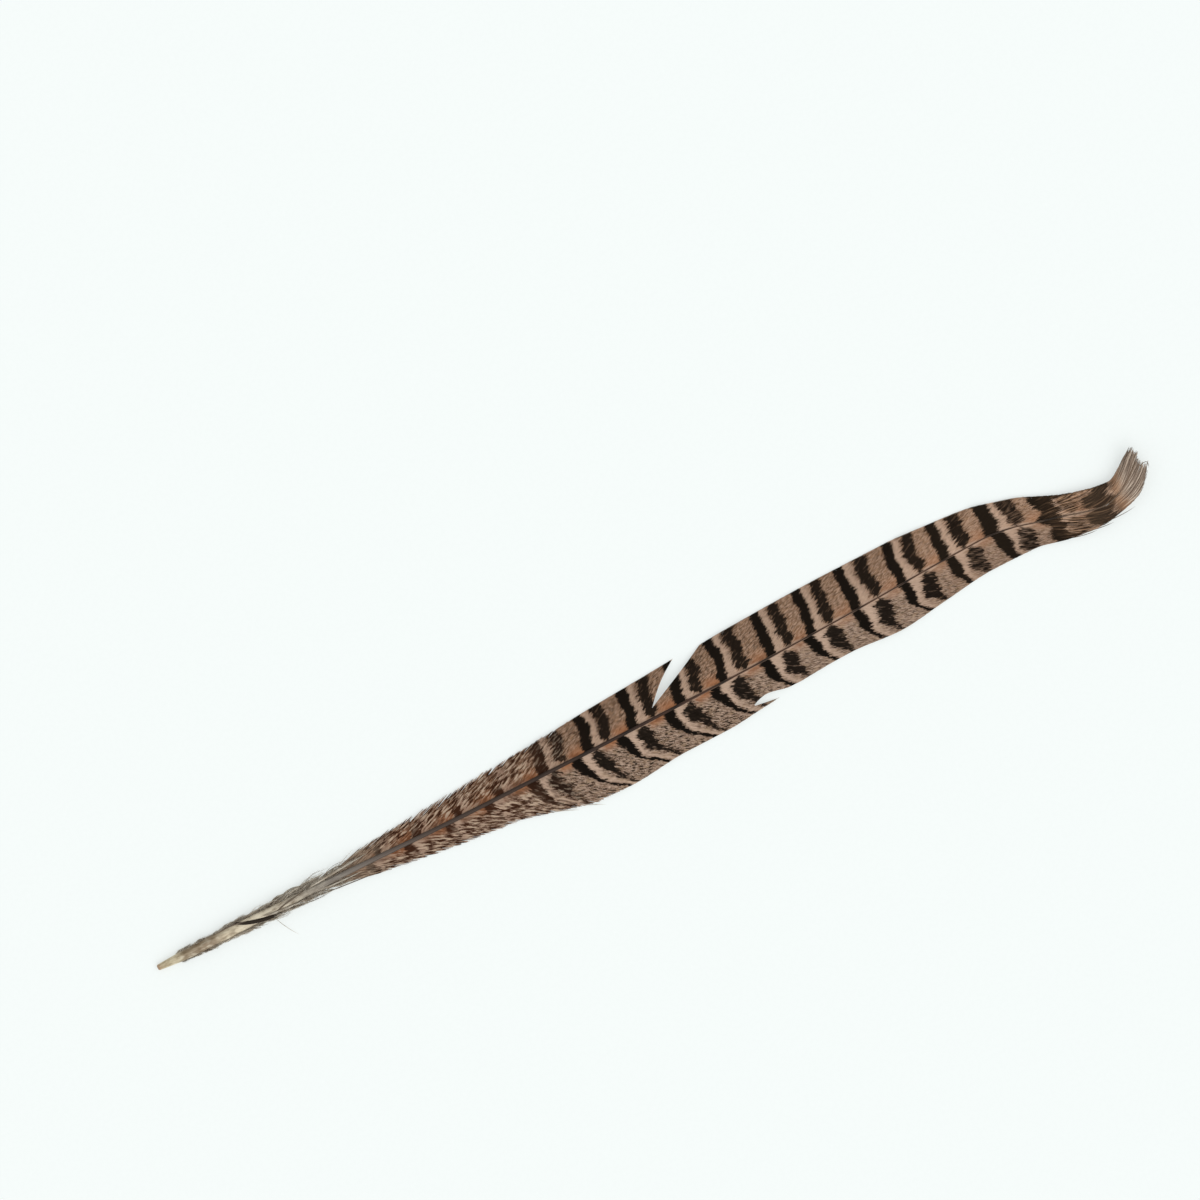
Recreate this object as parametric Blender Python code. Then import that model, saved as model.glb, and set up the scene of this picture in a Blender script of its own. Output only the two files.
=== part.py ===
"""A pheasant's tail feather, lying top side up on a flat surface: one grown piece.

Metres, +Z up. +X runs from the quill's end to the tip, and +Y is the left vane's side.
The origin is in the middle of the feather's footprint, on the surface that it rests on.

The feather is one closed skin. Each of its rings runs out along a barb of the left vane
and back under it, over or under the shaft, and out and back along a barb of the right
vane. Short rings between long ones part the vanes into locks and the down into tufts.
"""

import math
import random

import bpy

MM = 0.001

# Places are millimetres along the feather from 5.4 mm behind the quill's end, and across
# it from a straight line that runs along the quill's left side, with + to the left.
ORIGIN_ALONG = 138.35
ORIGIN_ACROSS = -3.4
QUILL_END = 5.4

# The shaft's middle line: (along, across), nearly straight, with a worn and turned tip.
SHAFT_ROUTE = [
    (5.4, -1.63), (10.8, -1.80), (19.2, -1.93), (27.6, -2.01), (42, -2.10), (55.2, -2.20),
    (66, -2.46), (79.2, -2.80), (90, -3.00), (108, -3.14), (132, -3.30), (156, -3.28),
    (174, -3.06), (186, -2.82), (200, -2.38), (211, -1.94), (221, -1.62), (229, -1.50),
    (235, -2.20), (242, -4.0), (248, -5.5), (254, -7.3), (258.5, -7.9), (262, -7.0),
    (266, -4.6), (270.2, -0.9),
]
# How far the shaft's underside arches clear of the surface: (along, height).
SHAFT_ARCH = [
    (5.4, 0), (18, 0), (40, 0.4), (80, 1.4), (130, 2.4), (170, 2.3), (210, 1.6),
    (235, 1.3), (250, 1.6), (260, 2.4), (270.2, 3.6),
]
# The quill swells, then tapers all the way to the tip: (along, size).
SHAFT_HALF_WIDTH = [
    (5.4, 0.70), (7.4, 0.86), (11, 1.12), (16, 1.27), (26, 1.25), (40, 0.96), (55, 0.66),
    (72, 0.55), (90, 0.50), (108, 0.46), (132, 0.40), (168, 0.28), (228, 0.20),
    (270.2, 0.17),
]
SHAFT_HALF_HEIGHT = [
    (5.4, 0.70), (7.4, 0.86), (11, 1.10), (16, 1.23), (26, 1.21), (40, 1.03), (55, 0.88),
    (72, 0.78), (108, 0.64), (168, 0.47), (228, 0.35), (270.2, 0.27),
]
FLAT_DROP = 0.92            # depth of the shaft's narrow flat, as a share of half its height
PIT_DEPTH = 2.6             # the small dark hole in the quill's end
PIT_SHARE = 0.50            # its mouth, as a share of the quill's half width
BARE_QUILL = (6.3, 7.2, 8.4, 9.6, 10.7, 11.6)   # rings of the quill before the down

# The edges of the vanes: (along, across), from the first locks to the tip.
LEFT_EDGE = [
    (60, 1.6), (84, 3.3), (108, 4.8), (132, 6.2), (168, 7.9), (192, 8.4), (207, 8.4),
    (218, 7.7), (228, 6.8), (235, 5.1), (241, 3.3), (247, 0.2), (252, -1.5),
    (257, -2.9), (261.5, -3.1), (265, -1.2), (268.6, 1.0), (270.8, 0.5),
]
RIGHT_EDGE = [
    (60, -5.6), (84, -9.1), (100, -10.8), (110, -13.4), (119, -15.2), (127, -15.2),
    (142, -14.0), (165, -13.0), (173, -11.8), (188, -11.4), (201, -12.0), (213, -10.4),
    (228, -9.4), (239, -9.4), (248, -11.5), (257.5, -12.0), (262, -10.9), (266, -9.6),
    (269.5, -6.8), (271.3, -4.0), (271.2, -1.4),
]
# How high the middle of the vane's edge lies: (along, height).
EDGE_HEIGHT = [
    (60, 0.20), (228, 0.20), (240, 0.5), (252, 1.2), (262, 2.3), (271.3, 3.6),
]
VANE_START = 50.0           # where the first and last barbs leave the shaft
VANE_END = 268.6
# Where a barb that leaves the shaft at a place ends, as a share of the way round the edge.
# Barbs lean about 35 degrees from the shaft at mid length and 15 near the tip.
LEFT_BARB_ENDS = [
    (50, 0.01), (100, 0.25), (140, 0.45), (190, 0.70), (215, 0.81), (228, 0.858),
    (240, 0.895), (250, 0.928), (262, 0.974), (268.6, 1.0),
]
RIGHT_BARB_ENDS = [
    (50, 0.01), (100, 0.24), (140, 0.43), (190, 0.675), (215, 0.795), (235, 0.875),
    (250, 0.93), (262, 0.972), (268.6, 1.0),
]
BARB_BEND = 0.46            # where a barb bends forward: under 0.5, and 0.5 is straight
BARB_TURNS = (0.0, 0.34, 0.68, 1.0)     # the points along a barb
DROOP = 1.5                 # how late along a barb the vane droops to its edge
VANE_THICK = (0.46, 0.30)   # at the shaft and at the edge
EDGE_LIFT = 0.45            # the most that a lock's end stands off the surface

LOCKS = 34                  # to a side
STAGGER = 0.3               # how far the right vane's locks are shifted, in locks
EVEN_LOCKS = 12             # locks before the tip over which the two sides fall in step
LOCK_PLAY = 0.14            # how unevenly the partings are spaced, in locks
LOCK_PARTING = 0.35         # from a parting to the barbs beside it
LOCK_DEPTH = [              # depth of the partings: (along, share of the vane's width)
    (50, 0.50), (75, 0.38), (100, 0.20), (120, 0.09), (225, 0.09), (245, 0.20),
    (268.6, 0.42),
]
# Deep splits in the vanes: side, where along the shaft, depth, and how far the barbs are
# pushed back before the split and forward after it, at the edge.
SPLITS = [(1, 136.6, 0.83, 3.2, 4.0), (-1, 150.0, 0.30, 0.2, 1.2)]
SPLIT_REACH = 7.0           # how far along the shaft the barbs give way to a split

TUFTS = 15                  # of down, to a side
DOWN_START = 12.5
DOWN_END = 48.5
DOWN_LENGTH = (3.4, 5.6)    # shortest and longest, a third of that at the first tuft
DOWN_LEAN = (34.0, 21.0)    # degrees from the shaft, at the first and at the last tuft
DOWN_PARTING = 0.55
DOWN_LIFT = 1.9
DOWN_STUB = 0.22

FEATHER_COLOUR = (0.33, 0.22, 0.14, 1.0)

LEFT, RIGHT = 1, -1
EDGES = {LEFT: LEFT_EDGE, RIGHT: RIGHT_EDGE}
BARB_ENDS = {LEFT: LEFT_BARB_ENDS, RIGHT: RIGHT_BARB_ENDS}


def smooth(table, place):
    """A value read from a smooth curve through a table of (place, value)."""
    place = min(max(place, table[0][0]), table[-1][0])
    rises = [(b[1] - a[1]) / (b[0] - a[0]) for a, b in zip(table, table[1:])]
    inner = [0.0 if r * s <= 0 else 2 * r * s / (r + s) for r, s in zip(rises, rises[1:])]
    slopes = [rises[0]] + inner + [rises[-1]]
    at = max(i for i in range(len(rises)) if table[i][0] <= place)
    (start, low), (end, high) = table[at], table[at + 1]
    gap = end - start
    t = (place - start) / gap
    ease = t * t * (3 - 2 * t)
    bend = slopes[at] * t * (1 - t) ** 2 - slopes[at + 1] * t * t * (1 - t)
    return low + (high - low) * ease + gap * bend


def track(points):
    """Tables of along and across against the share of the way round an edge."""
    reach = [0.0]
    for start, end in zip(points, points[1:]):
        reach.append(reach[-1] + math.dist(start, end))
    return [[(r / reach[-1], p[axis]) for r, p in zip(reach, points)] for axis in (0, 1)]


TRACKS = {side: track(points) for side, points in EDGES.items()}


def edge_point(side, share):
    """The place on a vane's edge at a share of the way from the first lock to the tip."""
    return tuple(smooth(table, share) for table in TRACKS[side])


def shaft_frame(along):
    """The shaft's middle there, and its directions forward and to the left."""
    step = 0.5
    across = smooth(SHAFT_ROUTE, along)
    rise = smooth(SHAFT_ROUTE, along + step) - smooth(SHAFT_ROUTE, along - step)
    turn = math.atan2(rise, 2 * step)
    height = FLAT_DROP * smooth(SHAFT_HALF_HEIGHT, along) + smooth(SHAFT_ARCH, along)
    ahead = (math.cos(turn), math.sin(turn))
    left = (-math.sin(turn), math.cos(turn))
    return (along, across, height), ahead, left


def thickness(root_half_height, share):
    """The vane's thickness at a share of the way to its edge."""
    at_shaft = min(VANE_THICK[0], 1.3 * root_half_height)
    return at_shaft + (VANE_THICK[1] - at_shaft) * share


def fin(root_along, line):
    """Upper and lower points of a barb, from a function of the share of the way out."""
    half_height = smooth(SHAFT_HALF_HEIGHT, root_along)
    upper, lower = [], []
    for share in BARB_TURNS:
        along, across, height = line(share)
        thick = thickness(half_height, share)
        low = max(height - thick / 2, 0.0)
        upper.append((along, across, low + thick))
        lower.append((along, across, low))
    return upper, lower


def barb_root(side, along):
    """Where a barb leaves the side of the shaft."""
    (x, y, z), ahead, left = shaft_frame(along)
    out = side * smooth(SHAFT_HALF_WIDTH, along)
    return (x + left[0] * out, y + left[1] * out, z), ahead, left


def split_push(side, along, share):
    """How far a deep split nearby pushes a barb forward, at a share of the way out."""
    push = 0.0
    for split_side, place, depth, back, forward in SPLITS:
        if split_side == side and along != place:
            near = math.exp(-abs(along - place) / SPLIT_REACH)
            opening = math.sin(math.pi / 2 * max(0.0, (share - 1 + depth) / depth))
            push += (forward if along > place else -back) * near * opening
    return push


def vane_barb(side, along, length, lift, slip):
    """One barb of the vane, cut to a share of its full length."""
    root, ahead, left = barb_root(side, along)
    slip_share = slip / (VANE_END - VANE_START)
    end = edge_point(side, min(max(smooth(BARB_ENDS[side], along) + slip_share, 0), 1))
    chord = (end[0] - root[0], end[1] - root[1])
    lead = chord[0] * ahead[0] + chord[1] * ahead[1]
    width = chord[0] * left[0] + chord[1] * left[1]
    bend = [root[i] + ahead[i] * lead * BARB_BEND + left[i] * width * (1 - BARB_BEND)
            for i in (0, 1)]
    end_height = smooth(EDGE_HEIGHT, end[0]) + lift

    def line(share_out):
        t = share_out * length
        push = split_push(side, along, t)
        x, y = [root[i] * (1 - t) ** 2 + bend[i] * 2 * t * (1 - t) + end[i] * t * t
                + ahead[i] * push for i in (0, 1)]
        return x, y, root[2] + (end_height - root[2]) * t ** DROOP

    return fin(along, line)


def down_barb(side, along, length, lean, lift):
    """One tuft of down, or the stub between two, straight out from the quill's side."""
    root, ahead, left = barb_root(side, along)
    angle = math.radians(lean)
    step = [ahead[i] * math.cos(angle) + side * left[i] * math.sin(angle) for i in (0, 1)]

    def line(share_out):
        t = share_out * length
        fall = (root[2] - lift - VANE_THICK[1] / 2) * min(length / DOWN_LENGTH[0], 1)
        return (root[0] + step[0] * t, root[1] + step[1] * t,
                root[2] - fall * share_out ** DROOP)

    return fin(along, line)


def down_barbs(side, rng):
    """The barbs of the down: a stub, a tuft's tip and a stub, over and over."""
    places = [DOWN_START + (DOWN_END - DOWN_START) * i / (TUFTS - 1) for i in range(TUFTS)]
    barbs = []
    for index, place in enumerate(places):
        share = index / (TUFTS - 1)
        lean = DOWN_LEAN[0] + (DOWN_LEAN[1] - DOWN_LEAN[0]) * share + rng.uniform(-3, 3)
        tip = place + rng.uniform(-0.35, 0.35)
        length = rng.uniform(*DOWN_LENGTH) * (0.30 + 0.25 * share + 0.80 * share ** 2)
        lift = rng.uniform(0, DOWN_LIFT) * (index % 2)
        before, after = tip - DOWN_PARTING, tip + DOWN_PARTING
        barbs.append((before, down_barb(side, before, DOWN_STUB, lean, 0)))
        barbs.append((tip, down_barb(side, tip, length, lean, lift)))
        barbs.append((after, down_barb(side, after, DOWN_STUB, lean, 0)))
    return barbs


def lock_partings(side, rng):
    """Where the locks part, with the deep splits moved onto the nearest parting."""
    pitch = (VANE_END - VANE_START) / LOCKS
    offset = 0.0 if side == LEFT else STAGGER
    places = []
    for index in range(LOCKS):
        play = (offset + rng.uniform(-LOCK_PLAY, LOCK_PLAY)) * min(1, (LOCKS - index) / EVEN_LOCKS)
        places.append(VANE_START + pitch * (index + play))
    depths = [smooth(LOCK_DEPTH, place) * rng.uniform(0.7, 1.3) for place in places]
    for split_side, split, depth, _, _ in SPLITS:
        if split_side == side:
            nearest = min(range(LOCKS), key=lambda i: abs(places[i] - split))
            places[nearest], depths[nearest] = split, depth
    return places, depths


def vane_barbs(side, rng):
    """The barbs that end and cross each lock: parting, first, middle and last."""
    places, depths = lock_partings(side, rng)
    ends = places[1:] + [VANE_END]
    barbs = []
    for place, end, depth in zip(places, ends, depths):
        lift = EDGE_LIFT * max(0.0, rng.uniform(-0.6, 1.0))
        first, last = place + LOCK_PARTING, end - LOCK_PARTING
        gather = LOCK_PARTING / 2
        barbs.append((place, vane_barb(side, place, 1 - depth, lift / 2, 0)))
        barbs.append((first, vane_barb(side, first, 0.99, lift, gather)))
        barbs.append(((first + last) / 2, vane_barb(side, (first + last) / 2, 1.0, lift, 0)))
        barbs.append((last, vane_barb(side, last, 0.98, lift, -gather)))
    return barbs


def shaft_over(along):
    """Three points over the shaft, left to right, and four under it, right to left."""
    (x, y, z), _, left = shaft_frame(along)
    wide = smooth(SHAFT_HALF_WIDTH, along)
    high = smooth(SHAFT_HALF_HEIGHT, along)
    over = [(0.55, 0.82), (0.0, 1.0), (-0.55, 0.82)]
    under = [(-0.80, -0.58), (-0.38, -FLAT_DROP), (0.38, -FLAT_DROP), (0.80, -0.58)]
    return [[(x + left[0] * a * wide, y + left[1] * a * wide, z + b * high)
             for a, b in points] for points in (over, under)]


def fin_ring(left_barb, right_barb, along):
    """A ring with a barb on each side."""
    (left_upper, left_lower), (right_upper, right_lower) = left_barb, right_barb
    over, under = shaft_over(along)
    return left_upper[::-1] + over + right_upper + right_lower[::-1] + under + left_lower


SIDE_ANGLES = (5.0, 17.0, 29.0, 41.0)
OVER_ANGLES = (114.0, 90.0, 66.0)
UNDER_ANGLES = (-48.0, -67.6, -112.4, -132.0)


def round_ring(along, size=1.0):
    """A plain ring round the shaft, with as many points as a ring with barbs."""
    (_, y, z), _, left = shaft_frame(along)
    wide = smooth(SHAFT_HALF_WIDTH, along) * size
    high = smooth(SHAFT_HALF_HEIGHT, along) * size
    angles = [180 - a for a in SIDE_ANGLES] + list(OVER_ANGLES) + list(SIDE_ANGLES[::-1])
    angles += [-a for a in SIDE_ANGLES] + list(UNDER_ANGLES)
    angles += [a - 180 for a in SIDE_ANGLES[::-1]]
    ring = []
    for angle in angles:
        out, up = math.cos(math.radians(angle)), math.sin(math.radians(angle))
        up = max(up, -FLAT_DROP)
        ring.append((along - left[0] * out * wide, y - left[1] * out * wide, z + up * high))
    return ring


def quill_rings():
    """The pit in the quill's end, its rim, and the bare quill up to the first down."""
    pit = [round_ring(QUILL_END + PIT_DEPTH, PIT_SHARE * 0.55),
           round_ring(QUILL_END + 0.5, PIT_SHARE * 0.9)]
    rim = [round_ring(QUILL_END, PIT_SHARE), round_ring(QUILL_END, 0.82),
           round_ring(QUILL_END + 0.35, 0.97)]
    return pit + rim + [round_ring(along) for along in BARE_QUILL]


def feather_rings():
    """Every ring of the feather, from the pit in the quill's end to the tip."""
    rng = random.Random(7)
    left = down_barbs(LEFT, rng) + vane_barbs(LEFT, rng)
    right = down_barbs(RIGHT, rng) + vane_barbs(RIGHT, rng)
    rings = quill_rings()
    for (left_along, left_barb), (right_along, right_barb) in zip(left, right):
        rings.append(fin_ring(left_barb, right_barb, (left_along + right_along) / 2))
    rings.append(round_ring(SHAFT_ROUTE[-1][0], 0.8))
    return rings


def skin(name, rings):
    """A closed skin over rings that all have the same number of points."""
    count = len(rings[0])
    vertices = [((x - ORIGIN_ALONG) * MM, (y - ORIGIN_ACROSS) * MM, z * MM)
                for ring in rings for x, y, z in ring]
    faces = []
    for start in range(0, (len(rings) - 1) * count, count):
        for i in range(count):
            j = (i + 1) % count
            faces.append((start + i, start + j, start + count + j, start + count + i))
    faces.append(tuple(reversed(range(count))))
    faces.append(tuple(range((len(rings) - 1) * count, len(rings) * count)))
    mesh = bpy.data.meshes.new(name)
    mesh.from_pydata(vertices, [], faces)
    return mesh


def finish_shading(mesh):
    """Smooth over the shaft and vanes, with the thin edges left sharp."""
    mesh.shade_smooth()
    mesh.set_sharp_from_angle(angle=math.radians(40))


def feather_material():
    """The warm brown that the barred vanes give from a step away."""
    material = bpy.data.materials.new("feather")
    material.use_nodes = True
    shader = material.node_tree.nodes["Principled BSDF"]
    shader.inputs["Base Color"].default_value = FEATHER_COLOUR
    shader.inputs["Roughness"].default_value = 0.62
    shader.inputs["Metallic"].default_value = 0.0
    return material


def build():
    for item in list(bpy.data.objects):
        bpy.data.objects.remove(item, do_unlink=True)
    mesh = skin("feather", feather_rings())
    finish_shading(mesh)
    mesh.materials.append(feather_material())
    bpy.context.scene.collection.objects.link(bpy.data.objects.new("feather", mesh))


build()
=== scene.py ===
"""The looks of a pheasant's tail feather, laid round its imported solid.

Measures are millimetres along the feather from 5.4 mm behind the quill's end, and across it
from a straight line along the quill's left side, with + to the left. The finished meshes are
in metres.
"""

import math
import random

import bmesh
import bpy
import numpy as np
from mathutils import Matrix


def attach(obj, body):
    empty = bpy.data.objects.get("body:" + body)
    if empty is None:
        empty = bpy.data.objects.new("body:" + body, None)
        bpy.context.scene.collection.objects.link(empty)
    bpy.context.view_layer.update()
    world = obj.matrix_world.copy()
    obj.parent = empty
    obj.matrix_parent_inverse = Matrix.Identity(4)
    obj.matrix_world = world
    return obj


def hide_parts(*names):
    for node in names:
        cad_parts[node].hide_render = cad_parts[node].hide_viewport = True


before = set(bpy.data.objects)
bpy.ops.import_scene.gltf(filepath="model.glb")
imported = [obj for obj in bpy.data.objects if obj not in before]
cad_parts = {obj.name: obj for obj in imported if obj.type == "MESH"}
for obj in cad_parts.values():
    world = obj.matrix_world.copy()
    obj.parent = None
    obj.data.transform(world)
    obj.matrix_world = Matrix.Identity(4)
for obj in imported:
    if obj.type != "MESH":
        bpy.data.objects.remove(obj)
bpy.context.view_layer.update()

MM = 0.001
ORIGIN_ALONG, ORIGIN_ACROSS = 138.35, -3.4      # where the frame's origin lies
QUILL_END, SHAFT_END = 5.4, 270.2
SHAFT_LENGTH = SHAFT_END - QUILL_END
LEFT, RIGHT = 1, -1
PLAN_SEED, COMB_SEED = 7, 11

# --- The feather's form, as in its solid, the right edge and its split drawn closer -------

SHAFT_ROUTE = [
    (5.4, -1.63), (10.8, -1.80), (19.2, -1.93), (27.6, -2.01), (42, -2.10), (55.2, -2.20),
    (66, -2.46), (79.2, -2.80), (90, -3.00), (108, -3.14), (132, -3.30), (156, -3.28),
    (174, -3.06), (186, -2.82), (200, -2.38), (211, -1.94), (221, -1.62), (229, -1.50),
    (235, -2.20), (242, -4.0), (248, -5.5), (254, -7.3), (258.5, -7.9), (262, -7.0),
    (266, -4.6), (270.2, -0.9),
]
SHAFT_ARCH = [
    (5.4, 0), (18, 0), (40, 0.4), (80, 1.4), (130, 2.4), (170, 2.3), (210, 1.6),
    (235, 1.3), (250, 1.6), (260, 2.4), (270.2, 3.6),
]
SHAFT_HALF_WIDTH = [
    (5.4, 0.70), (7.4, 0.86), (11, 1.12), (16, 1.27), (26, 1.25), (40, 0.96), (55, 0.66),
    (72, 0.55), (90, 0.50), (108, 0.46), (132, 0.40), (168, 0.28), (228, 0.20),
    (270.2, 0.17),
]
SHAFT_HALF_HEIGHT = [
    (5.4, 0.70), (7.4, 0.86), (11, 1.10), (16, 1.23), (26, 1.21), (40, 1.03), (55, 0.88),
    (72, 0.78), (108, 0.64), (168, 0.47), (228, 0.35), (270.2, 0.27),
]
ROUTE_ON = SHAFT_ROUTE + [(275.2, 3.50)]     # straight on past its end, for the last barbs
FLAT_DROP = 0.92            # how far down its flat underside lies, against its half height
PIT_DEPTH, PIT_SHARE = 2.6, 0.50        # of the pit in the quill's end: its width is a share

EDGES = {
    LEFT: [
        (60, 1.6), (84, 3.3), (108, 4.8), (132, 6.2), (168, 7.9), (192, 8.4), (207, 8.4),
        (218, 7.7), (228, 6.8), (235, 5.1), (241, 3.3), (247, 0.2), (252, -1.5),
        (257, -2.9), (261.5, -3.1), (265, -1.2), (268.6, 1.0), (270.8, 0.5),
    ],
    RIGHT: [
        (60, -5.6), (84, -9.1), (100, -10.8), (110, -13.4), (119, -15.2), (127, -15.2),
        (142, -14.1), (153, -14.1), (160.5, -13.5), (165, -13.1), (173, -11.8), (188, -11.1),
        (201, -12.0), (213, -10.7), (228, -9.2), (239, -9.4), (248, -11.5), (257.5, -12.2),
        (262, -10.9), (266, -9.6), (269.5, -6.8), (271.3, -4.0), (271.2, -1.4),
    ],
}
EDGE_HEIGHT = [
    (60, 0.20), (228, 0.20), (240, 0.5), (252, 1.2), (262, 2.3), (271.3, 3.6),
]
VANE_START, VANE_END = 50.0, 268.6
VANE_LENGTH = VANE_END - VANE_START
BARB_ENDS = {               # (along where a barb starts, how far round the edge it ends)
    LEFT: [
        (50, 0.01), (100, 0.25), (140, 0.45), (190, 0.70), (215, 0.81), (228, 0.858),
        (240, 0.895), (250, 0.928), (262, 0.974), (268.6, 1.0),
    ],
    RIGHT: [
        (50, 0.01), (100, 0.24), (140, 0.43), (190, 0.675), (215, 0.795), (235, 0.875),
        (250, 0.93), (262, 0.972), (268.6, 1.0),
    ],
}
BARB_BEND = 0.46            # how far ahead a barb bends, as a share of its whole lead
DROOP = 1.5                 # the power by which it sinks from the shaft to the edge
ROOT_INSIDE = 0.75          # how far out in the shaft it starts, against the half width

LOCKS = 34                  # along each vane
STAGGER = 0.3               # how far on the right vane's locks lie, as a share of a lock
LOCK_PLAY = 0.14            # how far each one strays, as a share of a lock
EVEN_LOCKS = 12             # the last ones, where both of these die away
DEPTH_PLAY = (0.7, 1.3)
EDGE_LIFT = 0.45            # the most that a lock's edge is lifted
LIFT_PLAY = (-0.6, 1.0)     # its share for each lock, where less than 0 counts as 0
LOCK_DEPTH = [
    (50, 0.50), (75, 0.38), (100, 0.20), (120, 0.09), (225, 0.09), (245, 0.20),
    (268.6, 0.42),
]
# The deep splits: place, depth, and how far the barbs before and after are pushed apart.
SPLITS = {LEFT: (136.6, 0.83, 3.2, 4.0), RIGHT: (150.0, 0.22, 0.1, 0.5)}
SPLIT_REACH = 7.0           # how soon this dies away along the shaft

TUFTS = 15                  # on each side
DOWN_START, DOWN_END = 12.5, 48.5
DOWN_LENGTH = (3.4, 5.6)
DOWN_GROWTH = (0.30, 0.25, 0.80)        # the share of it: at first, by the place, by its square
DOWN_LEAN = (34.0, 21.0)    # of the first and of the last tuft, in degrees
LEAN_PLAY, TUFT_PLAY = 3, 0.35
DOWN_LIFT = 1.9             # the most that every second tuft is lifted

# --- The dress: barbs, bars and down -----------------------------------------------------

BARB_PITCH = 0.36           # between barbs, along the shaft
BARB_CUTS = 16              # cross cuts in the barb that all the others copy
BARB_OVERLAP = 1.55         # a barb's width against the room it has
BARB_WIDEST = 0.25          # the most that half a barb's width may be
BARB_THINNEST = 0.065       # and the least
RIDGE = 0.007               # how far a barb's ridge stands over its sides
KEEL = (0.12, 0.05)         # how deep a barb's underside is, at the shaft and at its end
BARB_TILT = 0.03            # how far a barb leans over the next, in radians
EDGE_CURL = 1.4             # how far a zipped barb's end runs on along the edge, against the
EDGE_MOST = 1.2             # gap to the next one, which counts as no more than this
LOWEST = 0.10               # no barb's middle line lies lower than this
CREASE = math.radians(60)   # a barb's sides meet in a sharp edge past this angle

# How barbs hang together. Slack is how much looser than zipped they are.
ZIPPED = 0.1
ROOT_PLAY = 0.10            # of where a barb starts, as a share of the pitch
GATHER = (0.01, 0.1, 0.6)   # to the middle of the lock: always, by its lift, by the slack
CLUMP = (3, 9)              # how many barbs hang together
CLUMP_PULL = 0.55           # to the middle of the clump, as a share of the looseness
SLACK_SWAY = 0.8            # how far a clump, and a barb in it, moves along, by the slack
CLUMP_RAGGED = 0.04         # how much shorter a clump is, by the slack
BARB_RAGGED = (0.003, 0.22)             # and a barb in it: always, and by the slack
CLUMP_RAISED = 0.4
LINE_WAVE = (0.01, 0.16)    # how wide a barb's waves are: always, and by its looseness

# At the right split the last lock runs out in a point, and the barbs after it are short.
POINT_REACH, POINT_RUN, POINT_ASIDE = 2.8, 5.2, 0.50
SHORT_AFTER = [             # (along from the split, share of the barb's length)
    (0, 0.84), (1, 0.81), (2, 0.79), (4, 0.77), (5, 0.78), (6, 0.84), (7, 0.93), (8, 0.97),
    (10, 1.0),
]

# The barbs under the rest where these are loose, coloured darker as painted shade in the gaps:
# from, to, how long, how far below.
UNDER_PITCH = 0.6
UNDER_LAYERS = [(52.0, 112.0, 0.86, 0.22), (226.0, 267.5, 0.93, 0.12)]

# Near the tip the barbs run beside the shaft and turn with it.
FLOW_FROM, FLOW_ALL = 224.0, 240.0      # where this starts and where all of them do
FLOW_LEAD = [(200, 22.0), (225, 23.0), (240, 24.0), (255, 25.0), (263, 30.0), (268.6, 70.0)]
FLOW_BEND = 0.92
TIP_END = {                 # where the blunt tip ends: (out from the shaft, along)
    LEFT: [(0, 272.2), (1.4, 272.4), (2.1, 272.2), (2.7, 271.0), (3.5, 268.8), (5.0, 266.0)],
    RIGHT: [(0, 272.0), (1.2, 271.3), (2.8, 269.8), (3.7, 267.9), (4.5, 266.4), (6.0, 264.0)],
}
BLUNT_FROM = {LEFT: 270.0, RIGHT: 269.3}     # from here on it keeps its width

# How loosely the barbs hang together, from the shaft's place: 0 is zipped, 1 is ragged.
LOOSENESS = {
    LEFT: [(50, 1.0), (62, 0.70), (84, 0.46), (100, 0.26), (115, 0.08), (222, 0.10),
           (238, 0.30), (252, 0.75), (268.6, 1.0)],
    RIGHT: [(50, 0.9), (62, 0.60), (84, 0.40), (104, 0.28), (118, 0.08), (225, 0.12),
            (240, 0.35), (254, 0.80), (268.6, 1.0)],
}

# The middles of the dark bars where they meet the shaft.
BARS = {
    LEFT: [
        54.0, 64.8, 75.4, 86.0, 97.0, 109.0, 121.5, 133.4, 146.2, 157.9, 170.4, 181.7,
        193.4, 206.2, 217.8, 230.9, 244.6, 257.9, 271.2,
    ],
    RIGHT: [
        51.0, 61.6, 72.2, 82.8, 93.6, 105.6, 117.6, 129.6, 142.3, 154.8, 168.2, 180.7,
        193.2, 206.4, 218.9, 232.1, 244.8, 257.0, 270.4,
    ],
}
FIRST_BAR = -3              # the number of the first of them, counting from the first clear one
# Half a bar's width, as a share of the way to the next: (along, share).
BAR_HALF = {
    LEFT: [(60, 0.10), (90, 0.115), (200, 0.105), (218, 0.110), (231, 0.140), (244, 0.205),
           (258, 0.235), (270, 0.20)],
    RIGHT: [(60, 0.10), (90, 0.115), (130, 0.108), (200, 0.098), (218, 0.108), (232, 0.125),
            (244, 0.185), (257, 0.265), (270, 0.20)],
}
# How far a bar has moved to the tip, from how far out it is from the shaft, in millimetres.
BAR_SLANT = {
    LEFT: [(0, 0.0), (1.5, 0.1), (4.0, 0.6), (7.0, 0.8), (12.0, 0.8)],
    RIGHT: [(0, 0.0), (1.5, 0.15), (2.9, 0.45), (4.8, 1.0), (6.5, 1.9), (7.9, 3.4),
            (8.9, 4.7), (9.6, 5.7), (12.5, 9.6)],
}
SECOND_SLANT = {
    LEFT: [(0, 0.0), (3.0, -0.1), (6.0, 0.3), (12.0, 0.5)],
    RIGHT: [(0, 0.3), (1.5, 0.0), (4.8, 0.1), (6.5, 1.2), (8.4, 2.6), (12.5, 6.0)],
}
# How much of the slant is left towards the tip: (along, share).
SLANT_LEFT = [(60, 1.0), (170, 1.0), (206, 0.68), (232, 0.75), (245, 1.5), (270, 1.3)]
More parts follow.
